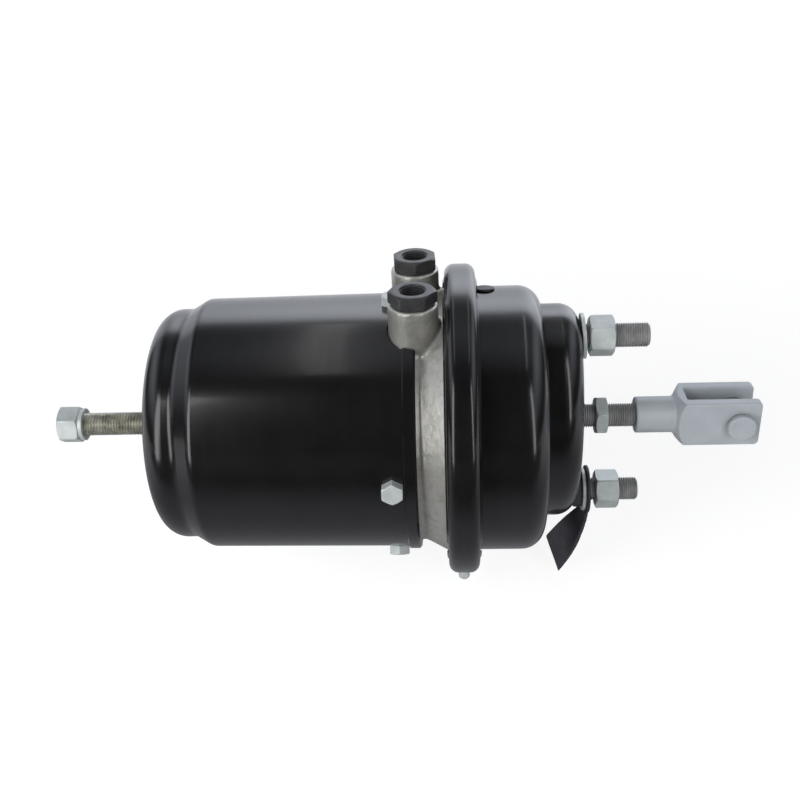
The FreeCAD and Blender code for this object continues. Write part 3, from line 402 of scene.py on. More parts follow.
def hex_rings(x0, x1, flats, turn, first=True, last=True):
    """Rings of a hexagonal prism along X with turned chamfers at the chosen ends."""
    start = flats / 2 * HEX_FACE
    depth = (flats / math.sqrt(3) - start) / CHAMFER_SLOPE
    steps = [depth * k / CHAMFER_STEPS for k in range(CHAMFER_STEPS + 1)]
    rings = []
    for x, step in [(x0 + s, s) for s in steps] if first else [(x0, depth)]:
        rings.append(hex_ring(x, flats, turn, start + step * CHAMFER_SLOPE))
    for x, step in [(x1 - s, s) for s in reversed(steps)] if last else [(x1, depth)]:
        rings.append(hex_ring(x, flats, turn, start + step * CHAMFER_SLOPE))
    return rings


def hex_nut(name, x0, x1, flats, turn, bore, pitch=PITCH):
    """Nut round the X axis, chamfered on both faces, with a threaded and countersunk bore."""
    rings = hex_rings(x0, x1, flats, turn)
    depth = pitch * THREAD_DEPTH
    rings.append(plain_ring(x1, bore + BORE_BREAK))
    rings += thread_rings(x1, x0, bore + depth / 2, pitch, (bore, bore + BORE_BREAK))
    rings.append(plain_ring(x0, bore + BORE_BREAK))
    return loft(name, rings, HEX_SEGMENTS, True)


def thread_rings(x0, x1, radius, pitch, limits):
    """Rings of a right-hand thread whose radius stays between two limits."""
    depth = pitch * THREAD_DEPTH
    count = max(2, round(abs(x1 - x0) / pitch * THREAD_STEPS))

    def ring(x):
        def place(angle):
            wave = 0.5 - 0.5 * math.cos(math.tau * (x / pitch - angle / math.tau))
            return x, min(max(radius - depth * wave, limits[0]), limits[1])
        return place
    return [ring(x0 + (x1 - x0) * k / count) for k in range(count + 1)]


def threaded_end(x0, x1, radius, pitch):
    """Rings of an outer thread with a broken edge at x1, and the end face."""
    sign = 1 if x1 > x0 else -1
    stop = x1 - sign * BROKEN_END
    depth = pitch * THREAD_DEPTH
    rings = thread_rings(x0, stop, radius, pitch, (radius - depth, radius))
    core = radius - depth
    for k in range(1, CHAMFER_STEPS + 1):
        share = k / CHAMFER_STEPS
        x = stop + sign * BROKEN_END * share
        rings.append(plain_ring(x, core - BROKEN_END / 2 * (1 - math.sqrt(1 - share ** 2))))
    return rings


def bar(name, rings):
    """Closed bar through rings along X."""
    return loft(name, rings, THREAD_SEGMENTS, False)


def finished(piece, slot, *nodes):
    """Gives a piece the material of its slot, and hides the CAD nodes it stands for."""
    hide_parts(*nodes)
    piece.data.materials.clear()
    piece.data.materials.append(MATERIALS[slot])
    return piece


def fit_out(piece, body, slot, *nodes):
    """Finishes a piece that rides on one body."""
    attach(piece, body)
    return finished(piece, slot, *nodes)


# Skins

def skin(name, source, voxel, rounds):
    """Even, softened skin over a copy of a mesh."""
    piece = copy_of(name, source)
    remesh = piece.modifiers.new("remesh", "REMESH")
    remesh.mode = "VOXEL"
    remesh.voxel_size = voxel
    remesh.use_smooth_shade = True
    smooth = piece.modifiers.new("smooth", "SMOOTH")
    smooth.factor = SMOOTHING
    smooth.iterations = rounds
    return apply_modifiers(piece)


def roughen(piece, height, scale):
    """Pushes the vertices in by a fixed noise, never outwards."""
    texture = bpy.data.textures.new(piece.name + "_grain", "CLOUDS")
    texture.noise_scale = scale
    push = piece.modifiers.new("grain", "DISPLACE")
    push.texture = texture
    push.texture_coords = "LOCAL"
    push.strength = -height
    push.mid_level = 0.0
    return apply_modifiers(piece)


# Materials

def new_material(name):
    """New material, its node tree and its shader."""
    material = bpy.data.materials.new(name)
    material.use_nodes = True
    return material, material.node_tree, material.node_tree.nodes["Principled BSDF"]


def noise(tree, scale, detail=3.0, roughness=0.55, stretch=(1.0, 1.0, 1.0)):
    """Noise over the object, in its own coordinates."""
    place = tree.nodes.new("ShaderNodeTexCoord")
    mapping = tree.nodes.new("ShaderNodeMapping")
    mapping.inputs["Scale"].default_value = stretch
    node = tree.nodes.new("ShaderNodeTexNoise")
    node.inputs["Scale"].default_value = scale
    node.inputs["Detail"].default_value = detail
    node.inputs["Roughness"].default_value = roughness
    tree.links.new(place.outputs["Object"], mapping.inputs["Vector"])
    tree.links.new(mapping.outputs["Vector"], node.inputs["Vector"])
    return node.outputs["Fac"]


def ramp(tree, source, stops):
    """Colour from a value, its stops as (position, colour)."""
    node = tree.nodes.new("ShaderNodeValToRGB")
    elements = node.color_ramp.elements
    while len(elements) < len(stops):
        elements.new(0.5)
    for element, (position, colour) in zip(elements, stops):
        element.position = position
        element.color = (*colour, 1.0)
    tree.links.new(source, node.inputs["Fac"])
    return node.outputs["Color"]


def mottled(tree, source, dark, pale):
    """Colour that wanders between two with a noise."""
    return ramp(tree, source, [(CLOUD_START, dark), (CLOUD_STOP, pale)])


def spread(tree, source, low, high, start=CLOUD_START, stop=CLOUD_STOP):
    """Value spread from one range onto another."""
    node = tree.nodes.new("ShaderNodeMapRange")
    node.inputs["From Min"].default_value = start
    node.inputs["From Max"].default_value = stop
    node.inputs["To Min"].default_value = low
    node.inputs["To Max"].default_value = high
    tree.links.new(source, node.inputs["Value"])
    return node.outputs["Result"]


def blend_colour(tree, factor, first, second):
    """Mix of two colours by a factor."""
    node = tree.nodes.new("ShaderNodeMix")
    node.data_type = "RGBA"
    # sockets 6 and 7 and output 2 are the ones for colours
    tree.links.new(factor, node.inputs["Factor"])
    for socket, colour in ((node.inputs[6], first), (node.inputs[7], second)):
        if isinstance(colour, tuple):
            socket.default_value = (*colour, 1.0)
        else:
            tree.links.new(colour, socket)
    return node.outputs[2]


def edges(tree, start, stop):
    """One on the edges and ridges of a fine mesh, nothing elsewhere."""
    node = tree.nodes.new("ShaderNodeNewGeometry")
    return spread(tree, node.outputs["Pointiness"], 0.0, 1.0, start, stop)


def bump(tree, shader, source, strength, distance, below=None):
    """Bump from a height, on top of another bump if one is given."""
    node = tree.nodes.new("ShaderNodeBump")
    node.inputs["Strength"].default_value = strength
    node.inputs["Distance"].default_value = distance
    tree.links.new(source, node.inputs["Height"])
    if below:
        tree.links.new(below.outputs["Normal"], node.inputs["Normal"])
    tree.links.new(node.outputs["Normal"], shader.inputs["Normal"])
    return node


def gloss_paint():
    """Black enamel: soft orange peel, dust and faint rub marks round the body."""
    material, tree, shader = new_material("gloss_black_paint")
    dust = noise(tree, scale=35.0, detail=6.0, roughness=0.7)
    tree.links.new(ramp(tree, dust, PAINT_STOPS), shader.inputs["Base Color"])
    rub = noise(tree, scale=60.0, detail=4.0, roughness=0.6, stretch=(4.0, 0.6, 0.6))
    tree.links.new(spread(tree, rub, low=0.20, high=0.25), shader.inputs["Roughness"])
    shader.inputs["Coat Weight"].default_value = PAINT_COAT
    shader.inputs["Coat Roughness"].default_value = PAINT_COAT_ROUGHNESS
    peel = noise(tree, scale=180.0, detail=1.0)
    bump(tree, shader, peel, strength=0.03, distance=0.2 * MM)
    return material


def cast_metal():
    """Die-cast aluminium: matt, grained, with stains that wander with a noise and paler ridges."""
    material, tree, shader = new_material("cast_aluminium")
    stain = noise(tree, scale=26.0, detail=5.0, roughness=0.6)
    mottle = noise(tree, scale=170.0, detail=4.0, roughness=0.7)
    grime = spread(tree, mottle, low=0.0, high=0.55, start=0.5, stop=0.75)
    dirty = blend_colour(tree, grime, ramp(tree, stain, CAST_STOPS), CAST_GRIME)
    ridged = blend_colour(tree, edges(tree, start=0.52, stop=0.6), dirty, CAST_RIDGE)
    tree.links.new(ridged, shader.inputs["Base Color"])
    shader.inputs["Metallic"].default_value = CAST_METALLIC
    tree.links.new(spread(tree, stain, low=0.36, high=0.50), shader.inputs["Roughness"])
    coarse = bump(tree, shader, mottle, strength=0.5, distance=0.5 * MM)
    grain = noise(tree, scale=800.0, detail=3.0, roughness=0.7)
    bump(tree, shader, grain, strength=0.5, distance=0.25 * MM, below=coarse)
    return material


def metal(name, dark, pale, roughness, metallic=1.0, scale=120.0, grain=0.12):
    """Metal whose colour and roughness wander with a noise."""
    material, tree, shader = new_material(name)
    cloud = noise(tree, scale, detail=4.0)
    tree.links.new(mottled(tree, cloud, dark, pale), shader.inputs["Base Color"])
    shader.inputs["Metallic"].default_value = metallic
    tree.links.new(spread(tree, cloud, *roughness), shader.inputs["Roughness"])
    bump(tree, shader, noise(tree, scale=1300.0, detail=3.0), strength=grain, distance=0.1 * MM)
    return material


def dull(name, dark, pale, roughness, grain_scale, grain):
    """Rubber, plastic or phosphated steel without a metallic sheen."""
    material, tree, shader = new_material(name)
    cloud = noise(tree, scale=90.0, detail=5.0)
    tree.links.new(mottled(tree, cloud, dark, pale), shader.inputs["Base Color"])
    tree.links.new(spread(tree, cloud, *roughness), shader.inputs["Roughness"])
    bump(tree, shader, noise(tree, grain_scale, detail=3.0), strength=grain, distance=0.15 * MM)
    return material


def grey_paint():
    """Pale grey enamel sprayed over a forging, with small knocks."""
    material, tree, shader = new_material("grey_paint")
    cloud = noise(tree, scale=60.0, detail=4.0)
    chips = noise(tree, scale=240.0, detail=5.0, roughness=0.75)
    knock = spread(tree, chips, low=0.0, high=0.4, start=0.62, stop=0.78)
    knocked = blend_colour(tree, knock, mottled(tree, cloud, GREY_DARK, GREY_PALE), GREY_KNOCK)
    tree.links.new(knocked, shader.inputs["Base Color"])
    shader.inputs["Metallic"].default_value = GREY_METALLIC
    tree.links.new(spread(tree, cloud, low=0.36, high=0.5), shader.inputs["Roughness"])
    bump(tree, shader, noise(tree, scale=330.0, detail=2.0), strength=0.14, distance=0.25 * MM)
    return material


MATERIALS = {
    "black_paint": gloss_paint(),
    "cast_aluminium": cast_metal(),
    "zinc": metal("zinc_plate", (0.46, 0.50, 0.495), (0.60, 0.635, 0.63),
                  roughness=(0.36, 0.52), metallic=0.4, scale=140.0, grain=0.2),
    "dark_steel": metal("dark_steel", (0.23, 0.23, 0.23), (0.36, 0.36, 0.355),
                        roughness=(0.4, 0.55), metallic=0.3),
    "olive_steel": metal("olive_steel", (0.25, 0.25, 0.20), (0.60, 0.59, 0.52),
                         roughness=(0.28, 0.44), metallic=0.6, scale=240.0),
    "bare_steel": metal("bare_steel", (0.36, 0.36, 0.36), (0.48, 0.48, 0.48),
                        roughness=(0.3, 0.45)),
    "spring_steel": metal("spring_steel", (0.10, 0.11, 0.13), (0.16, 0.17, 0.19),
                          roughness=(0.35, 0.5)),
    "grey_paint": grey_paint(),
    "black_rubber": dull("black_rubber", (0.024, 0.024, 0.029), (0.040, 0.040, 0.049),
                         roughness=(0.48, 0.64), grain_scale=700.0, grain=0.15),
    "black_plastic": dull("black_plastic", (0.010, 0.010, 0.011), (0.016, 0.016, 0.018),
                          roughness=(0.35, 0.5), grain_scale=900.0, grain=0.1),
    "black_adapter": dull("black_adapter", (0.022, 0.022, 0.023), (0.040, 0.040, 0.042),
                          roughness=(0.3, 0.42), grain_scale=800.0, grain=0.1),
}


def dress_cad_nodes():
    """Every carried-over CAD node takes the material of its slot."""
    for part in frame["record"]["subparts"]:
        node = frame["nodes"][part["node"]]
        node.data.materials.clear()
        node.data.materials.append(MATERIALS[part["material_slot"]])


# Pieces

def stud_places():
    """Boxes of the stud's pieces, and each stud's height with its nut's ends and turn."""
    nuts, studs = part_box("stud_nuts"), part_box("mounting_studs")
    washers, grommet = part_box("stud_washers"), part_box("stud_grommet")
    height = (washers[1].z - washers[0].z) / 2 - (washers[1].y - washers[0].y) / 2
    upper = (height, nuts[0].x, nuts[0].x + STUD_NUT_LENGTH, UPPER_NUT_TURN)
    lower = (-height, nuts[1].x - STUD_NUT_LENGTH, nuts[1].x, LOWER_NUT_TURN)
    return studs, washers, grommet, upper, lower


def dress_studs():
    """Threaded studs, their nuts and washers."""
    studs, washers, grommet, upper, lower = stud_places()
    bars, nuts = [], []
    head = (studs[1].y - studs[0].y) / 2
    for height, nut_start, nut_stop, turn in (upper, lower):
        x0 = studs[0].x
        rings = [plain_ring(*p) for p in rounded([
            (x0, 0.0), (x0, head, STUD_HEAD / 2), (x0 + STUD_HEAD, head),
            (x0 + STUD_HEAD, STUD_CORE), (0.0, STUD_CORE),
        ])[1:]]
        rings += threaded_end(0.0, studs[1].x, STUD_RADIUS, PITCH)
        bars.append(shifted(bar("stud", rings), z=height))
        nut = hex_nut("nut", nut_start, nut_stop, STUD_NUT_FLATS, turn, STUD_CORE)
        nuts.append(shifted(nut, z=height))
    fit_out(joined("stud_threads", bars), "chamber", "dark_steel", "mounting_studs")
    fit_out(joined("stud_hex_nuts", nuts), "chamber", "zinc", "stud_nuts")
    radius = (washers[1].y - washers[0].y) / 2
    leaning = washer_disc(radius)
    moved(leaning, Matrix.Rotation(-WASHER_LEAN, 4, "Y"))
    shifted(leaning, x=WASHER / 2 + radius * math.sin(WASHER_LEAN), z=upper[0])
    flat = shifted(washer_disc(radius), x=washers[1].x - WASHER / 2, z=lower[0])
    fit_out(joined("stud_washer_discs", [leaning, flat]), "chamber", "zinc", "stud_washers")
    collar = (grommet[1].y - grommet[0].y) / 2
    sleeve = lathe("strap_spacer", [
        (grommet[0].x, STUD_RADIUS), (grommet[0].x, collar, ROUND_EDGE),
        (grommet[1].x, collar, ROUND_EDGE), (grommet[1].x, STUD_RADIUS),
    ])
    fit_out(shifted(sleeve, z=lower[0]), "chamber", "black_rubber", "stud_grommet")


def washer_disc(radius):
    """Stamped washer round the X axis, rolled over on its edges."""
    half = WASHER / 2
    return lathe("washer", [
        (-half, WASHER_HOLE, WASHER_EDGE), (-half, radius, WASHER_EDGE),
        (half, radius, WASHER_EDGE), (half, WASHER_HOLE, WASHER_EDGE),
    ])


def dress_push_rod():
    """Threaded push rod and its jam nut."""
    rod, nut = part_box("push_rod"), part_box("jam_nut")
    radius = rod[1].z
    rings = [
        plain_ring(rod[0].x, radius - ROUND_EDGE), plain_ring(rod[0].x + ROUND_EDGE, radius),
        plain_ring(ROD_THREAD_X, radius),
    ]
    rings += threaded_end(ROD_THREAD_X, rod[1].x, radius, PITCH)
    fit_out(bar("push_rod_thread", rings), "push_rod_body", "dark_steel", "push_rod")
    core = radius - THREAD_DEPTH * PITCH
    jam = hex_nut("jam_hex_nut", nut[0].x, nut[1].x, STUD_NUT_FLATS, JAM_NUT_TURN, core)
    fit_out(jam, "push_rod_body", "zinc", "jam_nut")


def dress_release_bolt():
    """Threaded release bolt with its nut and washer."""
    bolt, nut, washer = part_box("release_bolt"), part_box("release_nut"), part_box("release_washer")
    radius = STUD_RADIUS
    collar = bolt[1].z
    outer = nut[1].x - RELEASE_NUT_LENGTH
    thread = threaded_end(RELEASE_COLLAR_X, outer + RELEASE_INSET, radius, RELEASE_PITCH)
    rings = list(reversed(thread))
    rings += [plain_ring(*p) for p in rounded([
        (RELEASE_COLLAR_X, radius), (RELEASE_COLLAR_X, collar, RELEASE_COLLAR_EDGE),
        (bolt[1].x, collar, ROUND_EDGE), (bolt[1].x, 0.0),
    ])[1:-1]]
    fit_out(bar("release_bolt_thread", rings), "release_bolt_body", "olive_steel", "release_bolt")
    core = radius - THREAD_DEPTH * RELEASE_PITCH
    end_nut = hex_nut("release_hex_nut", outer, nut[1].x, RELEASE_NUT_FLATS, RELEASE_NUT_TURN,
                      core, RELEASE_PITCH)
    fit_out(end_nut, "release_bolt_body", "zinc", "release_nut")
    disc = lathe("release_washer_disc", [
        (washer[0].x, radius, WASHER_EDGE), (washer[0].x, washer[1].z, WASHER_EDGE),
        (washer[1].x, washer[1].z, WASHER_EDGE), (washer[1].x, radius, WASHER_EDGE),
    ])
    fit_out(disc, "release_bolt_body", "zinc", "release_washer")


def hex_screw(name, flats, head, shank, length, pitch):
    """Hexagon screw along X: its head from 0 towards +X, its shank towards -X."""
    rings = list(reversed(threaded_end(0.0, -length, shank, pitch)))
    rings.append(plain_ring(0.0, shank + BORE_BREAK))
    rings += hex_rings(0.0, head, flats, 0.0, first=False)
    face = flats / 2 * HEX_FACE
    rings.append(plain_ring(head, face * SCREW_FACE))
    return loft(name, rings, HEX_SEGMENTS, False)


def dress_screws():
    """Screws round the rim of the can and the bolt of the clamp ring."""
    screws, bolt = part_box("cylinder_screws"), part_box("clamp_bolt")
    seat = screws[1].z - SCREW_HEAD
    middle = (screws[0].x + screws[1].x) / 2
    pieces = []
    for angle in SCREW_ANGLES:
        screw = hex_screw("screw", SCREW_FLATS, SCREW_HEAD, SCREW_SHANK, SCREW_LENGTH,
                          SCREW_PITCH)
        moved(screw, Matrix.Rotation(SIXTH / 2, 4, "X"))
        shifted(screw, x=seat)
        moved(screw, Matrix.Rotation(-math.pi / 2, 4, "Z"))
        shifted(screw, x=middle)
        pieces.append(moved(screw, Matrix.Rotation(-angle, 4, "X")))
    fit_out(joined("rim_screws", pieces), "chamber", "zinc", "cylinder_screws")
    length = bolt[1].y - CLAMP_BOLT_HEAD - bolt[0].y
    tie = hex_screw("clamp_hex_bolt", SCREW_FLATS, CLAMP_BOLT_HEAD, CLAMP_BOLT_SHANK, length,
                    SCREW_PITCH)
    moved(tie, Matrix.Rotation(math.pi / 2, 4, "Z"))
    middle = (bolt[0] + bolt[1]) / 2
    shifted(tie, x=middle.x, y=bolt[1].y - CLAMP_BOLT_HEAD, z=middle.z)
    fit_out(tie, "chamber", "zinc", "clamp_bolt")


def dress_adapters():
    """Hexagonal screw-in adapters with an internal thread."""
    turns = {"port_adapter_service": SERVICE_TURN, "port_adapter_spring": SPRING_TURN}
    for node, turn in turns.items():
        low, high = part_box(node)
        foot = high.z - ADAPTER_HEX
        rings = [plain_ring(low.z, ADAPTER_SHANK), plain_ring(foot, ADAPTER_SHANK)]
        rings += hex_rings(foot, high.z, ADAPTER_FLATS, turn, first=False)
        rings.append(plain_ring(high.z, ADAPTER_MOUTH + BORE_BREAK))
        sink = high.z - (ADAPTER_MOUTH - ADAPTER_BORE)
        rings.append(plain_ring(high.z - BORE_BREAK / 2, ADAPTER_MOUTH))
        rings.append(plain_ring(sink, ADAPTER_BORE + BORE_BREAK))
        crest = ADAPTER_BORE + THREAD_DEPTH * PITCH
        rings += thread_rings(sink, low.z, crest, PITCH, (ADAPTER_BORE, crest))
        adapter = loft(node + "_hex", rings, HEX_SEGMENTS, True)
        moved(adapter, Matrix.Rotation(-math.pi / 2, 4, "Y"))
        shifted(adapter, x=(low.x + high.x) / 2, y=(low.y + high.y) / 2)
        fit_out(adapter, "chamber", "black_adapter", node)


def dress_casting():
    """Softened and grained skin over the cast flange."""
    casting = skin("cast_flange", frame["nodes"]["intermediate_flange"], CAST_VOXEL, CAST_ROUNDS)
    casting = roughen(casting, CAST_GRAIN, CAST_GRAIN_SIZE)
    fit_out(casting, "chamber", "cast_aluminium", "intermediate_flange")


def prism(name, outline, y0, y1):
    """Prism over an (x, z) outline between two heights along Y."""
    count = len(outline)
    vertices = [(x, y, z) for y in (y0, y1) for x, z in outline]
    faces = [tuple(range(count)), tuple(range(2 * count - 1, count - 1, -1))]
    for i in range(count):
        j = (i + 1) % count
        faces.append((i, j, count + j, count + i))
    return outward(mesh_object(name, vertices, faces))


def dress_clevis():
    """Softened skin over the forged fork with squarer tips, and its headed pin."""
    low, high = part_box("clevis")
    blocks = [copy_of("solid", frame["nodes"]["clevis"])]
    for side in (-1, 1):
        y0, y1 = sorted((side * FORK_SLOT / 2, side * high.y))
        for end in (-1, 1):
            corner = [
                (high.x - TIP_BLOCK, end * (high.z - TIP_BLOCK)),
                (high.x, end * (high.z - TIP_BLOCK)),
                (high.x, end * high.z, TIP_FILLET), (high.x - TIP_BLOCK, end * high.z),
            ]
            blocks.append(prism("tip", rounded(corner), y0, y1))
    rough = joined("rough_fork", blocks)
    fork = skin("forged_fork", rough, FORGED_VOXEL, FORGED_ROUNDS)
    bpy.data.objects.remove(rough)
    fit_out(fork, "push_rod_body", "grey_paint", "clevis")
    box_low, box_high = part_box("clevis_pin")
    face = low.y - PIN_STANDOFF
    end = box_high.y - PIN_STANDOFF
    pin = lathe("clevis_pin_turned", [
        (face - PIN_HEAD, 0.0), (face - PIN_HEAD, PIN_HEAD_RADIUS, PIN_HEAD_EDGE),
        (face, PIN_HEAD_RADIUS, PIN_EDGE), (face, PIN_RADIUS),
        (end, PIN_RADIUS, PIN_EDGE), (end, 0.0),
    ])
    moved(pin, Matrix.Rotation(math.pi / 2, 4, "Z"))
    shifted(pin, x=(box_low.x + box_high.x) / 2)
    fit_out(pin, "clevis_pin_body", "grey_paint", "clevis_pin")


def dress_vent():
    """Low domed breather plug in the side of the cup."""
    low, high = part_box("vent_plug")
    turn = Matrix.Rotation(-VENT_ANGLE, 4, "X") @ Matrix.Rotation(-math.pi / 2, 4, "Z")
    foot, seat = VENT_TOP - VENT_DEPTH, VENT_TOP - VENT_HEAD
    plug = lathe("breather_plug", [
        (foot, 0.0), (foot, VENT_STEM), (seat, VENT_STEM), (seat, VENT_RADIUS),
        (VENT_TOP, VENT_RADIUS, ROUND_EDGE), (VENT_TOP, 0.0),
    ])
    moved(plug, turn)
    shifted(plug, x=(low.x + high.x) / 2)
    fit_out(plug, "chamber", "black_plastic", "vent_plug")


def strap_section(share, root):
    """Centre, width direction and thickness direction of the strap at a share of its length."""
    twist = STRAP_TWIST * share
    back = STRAP_BACK * share ** STRAP_BEND
    centre = root + Vector((-back, -STRAP_SWAY * share, -STRAP_DROP * share))
    cut = Vector((math.sin(STRAP_CUT), 0, -math.cos(STRAP_CUT)))
    side = -AXIS_Y * math.cos(twist) + cut * math.sin(twist)
    flow = Vector((-STRAP_BACK * share, 0, -STRAP_DROP)).normalized()
    return centre, side, side.cross(flow).normalized()


def dress_strap():
    """Rubber strap: an eye on the lower stud and a broad tail that twists as it hangs."""
    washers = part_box("stud_washers")
    stud_z = -(washers[1].z - (washers[1].y - washers[0].y) / 2)
    x0 = washers[1].x
    x1 = x0 + STRAP_THICKNESS
    eye = lathe("eye", [
        (x0, STUD_RADIUS), (x0, STRAP_EYE_RADIUS, ROUND_EDGE),
        (x1, STRAP_EYE_RADIUS, ROUND_EDGE), (x1, STUD_RADIUS),
    ])
    shifted(eye, z=stud_z)
    root = Vector(((x0 + x1) / 2, 0, stud_z - STRAP_EYE_RADIUS + STRAP_OVERLAP))
    vertices, faces = [], []
    for i in range(STRAP_STEPS + 1):
        share = i / STRAP_STEPS
        centre, side, thick = strap_section(share, root)
        across = side * (STRAP_ROOT_WIDTH + (STRAP_END_WIDTH - STRAP_ROOT_WIDTH) * share) / 2
        depth = thick * STRAP_THICKNESS / 2
        vertices += [
            centre + across + depth, centre - across + depth,
            centre - across - depth, centre + across - depth,
        ]
    for i in range(STRAP_STEPS):
        for j in range(4):
            k = (j + 1) % 4
            faces.append((4 * i + j, 4 * i + k, 4 * i + 4 + k, 4 * i + 4 + j))
    faces += [(3, 2, 1, 0), tuple(4 * STRAP_STEPS + j for j in range(4))]
    tail = outward(mesh_object("tail", vertices, faces))
    rough = joined("rough_strap", [eye, tail])
    strap = skin("rubber_strap", rough, MOULDED_VOXEL, MOULDED_ROUNDS)
    bpy.data.objects.remove(rough)
    fit_out(strap, "chamber", "black_rubber", "stud_strap")


def likeness(name, node, slot):
    """Piece with a copy of a CAD node's own form, in place of the node."""
    return finished(copy_of(name, frame["nodes"][node]), slot, node)


def dress_inner_springs():
    """Diaphragm and springs inside, as copies of their CAD nodes."""
    sheet = likeness("rolling_diaphragm", "diaphragm", "black_rubber")
    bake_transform(sheet)
    coil = likeness("parking_coil", "power_spring", "spring_steel")
    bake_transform(coil)
    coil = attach(likeness("return_coil", "return_spring", "spring_steel"), "chamber")
    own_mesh(coil)


# Camera, light and floor

def photograph_camera():
    """Camera at the photograph's place, with its small roll."""
    level = math.cos(CAMERA_ELEVATION)
    forward = Vector((
        -math.sin(CAMERA_AZIMUTH) * level, math.cos(CAMERA_AZIMUTH) * level,
        -math.sin(CAMERA_ELEVATION),
    ))
    level_right = Vector((math.cos(CAMERA_AZIMUTH), math.sin(CAMERA_AZIMUTH), 0))
    level_up = level_right.cross(forward)
    right = level_right * math.cos(CAMERA_ROLL) - level_up * math.sin(CAMERA_ROLL)
    up = level_right * math.sin(CAMERA_ROLL) + level_up * math.cos(CAMERA_ROLL)
    data = bpy.data.cameras.new("camera")
    data.sensor_width = SENSOR
    data.lens = FOCAL_PIXELS / IMAGE_PIXELS * SENSOR
    camera = bpy.data.objects.new("camera", data)
    bpy.context.scene.collection.objects.link(camera)
    turn = Matrix((right, up, -forward)).transposed().to_4x4()
    camera.matrix_world = Matrix.Translation(CAMERA_TARGET - forward * CAMERA_DISTANCE) @ turn
    bpy.context.scene.camera = camera


def soft_light(name, place, along, size, power, mirrored):
    """Rectangular area lamp that looks at the object, its second side along an axis."""
    data = bpy.data.lights.new(name, "AREA")
    data.shape = "RECTANGLE"
    data.size, data.size_y = size
    data.energy = power
    lamp = bpy.data.objects.new(name, data)
    back = (Vector(place) - CAMERA_TARGET).normalized()
    across = along.cross(back).normalized()
    turn = Matrix((across, back.cross(across), back)).transposed().to_4x4()
    lamp.matrix_world = Matrix.Translation(place) @ turn
    lamp.visible_glossy = mirrored
    bpy.context.scene.collection.objects.link(lamp)


def calculated(tree, operation, first, second):
    """Result of a sum on two values, each a socket or a number."""
    node = tree.nodes.new("ShaderNodeMath")
    node.operation = operation
    for socket, value in zip(node.inputs, (first, second)):
        if isinstance(value, float):
            socket.default_value = value
        else:
            tree.links.new(value, socket)
    return node.outputs["Value"]


def distance_from(tree, x, y):
    """Distance from a point of the floor, in its own coordinates."""
    place = tree.nodes.new("ShaderNodeTexCoord")
    mapping = tree.nodes.new("ShaderNodeMapping")
    mapping.inputs["Location"].default_value = (-x, -y, 0.0)
    mapping.inputs["Scale"].default_value = (1.0, 1.0, 0.0)
    length = tree.nodes.new("ShaderNodeVectorMath")
    length.operation = "LENGTH"
    tree.links.new(place.outputs["Object"], mapping.inputs["Vector"])
    tree.links.new(mapping.outputs["Vector"], length.inputs[0])
    return length.outputs["Value"]


def mixed_shader(tree, factor, first, second):
    """Mix of two shaders by a factor."""
    mix = tree.nodes.new("ShaderNodeMixShader")
    tree.links.new(factor, mix.inputs["Fac"])
    tree.links.new(first, mix.inputs[1])
    tree.links.new(second, mix.inputs[2])
    return mix.outputs["Shader"]


def graded(tree, direction, stops):
    """Level over one part of a direction, its stops from 0 at -1 to 1 at +1."""
    place = spread(tree, direction, 0.0, 1.0, -1.0, 1.0)
    return ramp(tree, place, [(position, (level, level, level)) for position, level in stops])


def sky_level(tree):
    """Brightness of the sky: bands that rise to the rear, and a soft glow high at both ends."""
    place = tree.nodes.new("ShaderNodeTexCoord")
    split = tree.nodes.new("ShaderNodeSeparateXYZ")
    tree.links.new(place.outputs["Generated"], split.inputs["Vector"])
    bands = graded(tree, split.outputs["Y"], SKY_BANDS)
    fade = graded(tree, split.outputs["X"], SKY_ENDS)
    endward = calculated(tree, "ABSOLUTE", split.outputs["X"], 0.0)
    glow = spread(tree, endward, 0.0, END_GLOW, END_GLOW_START, END_GLOW_STOP)
    height = spread(tree, split.outputs["Z"], 0.0, 1.0, END_GLOW_LOW, END_GLOW_HIGH)
    return calculated(tree, "ADD", calculated(tree, "MULTIPLY", bands, fade),
                      calculated(tree, "MULTIPLY", glow, height))


def studio():
    """White room to the camera, and a graded sky for the object."""
    world = bpy.data.worlds.new("studio")
    bpy.context.scene.world = world
    world.use_nodes = True
    tree = world.node_tree
    room = tree.nodes["Background"]
    room.inputs["Color"].default_value = (*SKY_TINT, 1.0)
    path = tree.nodes.new("ShaderNodeLightPath")
    share = spread(tree, path.outputs["Is Glossy Ray"], SKY_SHARE * SKY_STRENGTH, SKY_STRENGTH,
                   0.0, 1.0)
    tree.links.new(calculated(tree, "MULTIPLY", sky_level(tree), share), room.inputs["Strength"])
    white = tree.nodes.new("ShaderNodeBackground")
    white.inputs["Color"].default_value = (1.0, 1.0, 1.0, 1.0)
    seen = mixed_shader(tree, path.outputs["Is Camera Ray"], room.outputs["Background"],
                        white.outputs["Background"])
    tree.links.new(seen, tree.nodes["World Output"].inputs["Surface"])
    for lamp in LAMPS:
        soft_light(*lamp)


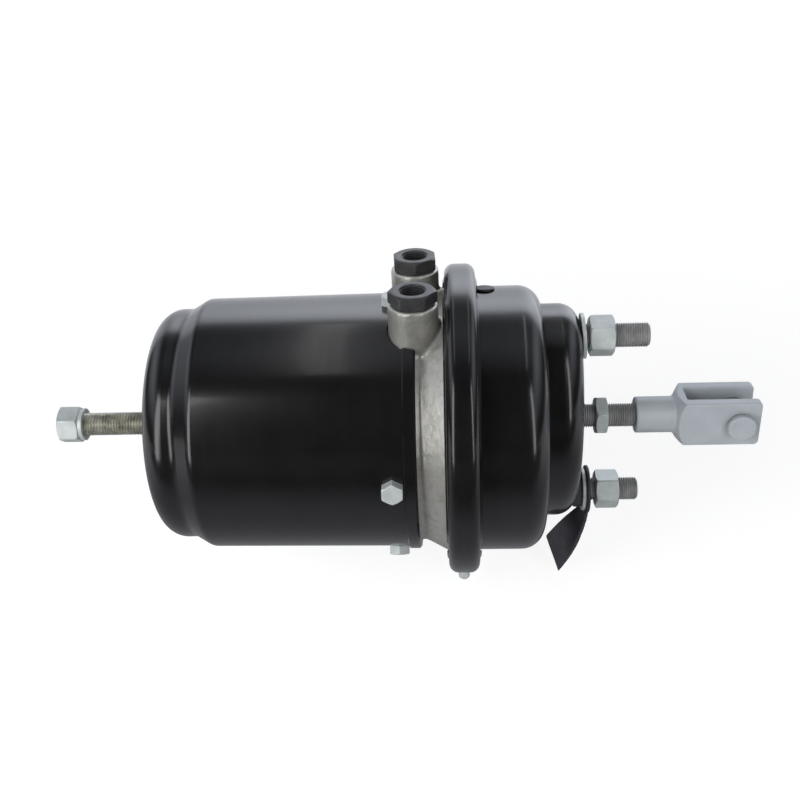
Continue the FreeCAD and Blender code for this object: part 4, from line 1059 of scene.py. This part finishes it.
def floor():
    """Pale floor under the object, white to the camera and in gloss, that keeps the shadow."""
    level = CAD_BOUNDS[0][2] - FLOOR_GAP
    signs = ((-1, -1), (1, -1), (1, 1), (-1, 1))
    corners = [(x * FLOOR_REACH, y * FLOOR_REACH, level) for x, y in signs]
    ground = mesh_object("floor", corners, [(0, 1, 2, 3)], smooth=False)
    material = bpy.data.materials.new("floor")
    material.use_nodes = True
    tree = material.node_tree
    tree.nodes.remove(tree.nodes["Principled BSDF"])
    path = tree.nodes.new("ShaderNodeLightPath")
    diffuse = tree.nodes.new("ShaderNodeBsdfDiffuse")
    shade = blend_colour(tree, path.outputs["Is Camera Ray"], FLOOR_PALE, FLOOR_SHADE)
    tree.links.new(shade, diffuse.inputs["Color"])
    middle = distance_from(tree, CAMERA_TARGET.x, 0.0)
    white = spread(tree, middle, WHITE_NEAR, WHITE_FAR, WHITE_START, WHITE_STOP)
    glow = tree.nodes.new("ShaderNodeEmission")
    seen_white = calculated(tree, "MULTIPLY", white, path.outputs["Is Camera Ray"])
    tree.links.new(seen_white, glow.inputs["Strength"])
    seen = tree.nodes.new("ShaderNodeAddShader")
    tree.links.new(diffuse.outputs["BSDF"], seen.inputs[0])
    tree.links.new(glow.outputs["Emission"], seen.inputs[1])
    table = spread(tree, middle, TABLE_NEAR, TABLE_FAR, TABLE_START, TABLE_STOP)
    ahead = distance_from(tree, CAMERA_TARGET.x, DARK_Y)
    front = spread(tree, ahead, DARK_SHARE, 1.0, DARK_START, DARK_STOP)
    mirrored = tree.nodes.new("ShaderNodeEmission")
    mirrored.inputs["Color"].default_value = (*TABLE_TINT, 1.0)
    tree.links.new(calculated(tree, "MULTIPLY", table, front), mirrored.inputs["Strength"])
    whole = mixed_shader(tree, path.outputs["Is Glossy Ray"], seen.outputs["Shader"],
                         mirrored.outputs["Emission"])
    tree.links.new(whole, tree.nodes["Material Output"].inputs["Surface"])
    ground.data.materials.append(material)


dress_cad_nodes()
dress_studs()
dress_push_rod()
dress_release_bolt()
dress_screws()
dress_adapters()
dress_casting()
dress_clevis()
dress_vent()
dress_strap()
dress_inner_springs()
photograph_camera()
studio()
floor()
bpy.context.scene.view_settings.view_transform = "Standard"
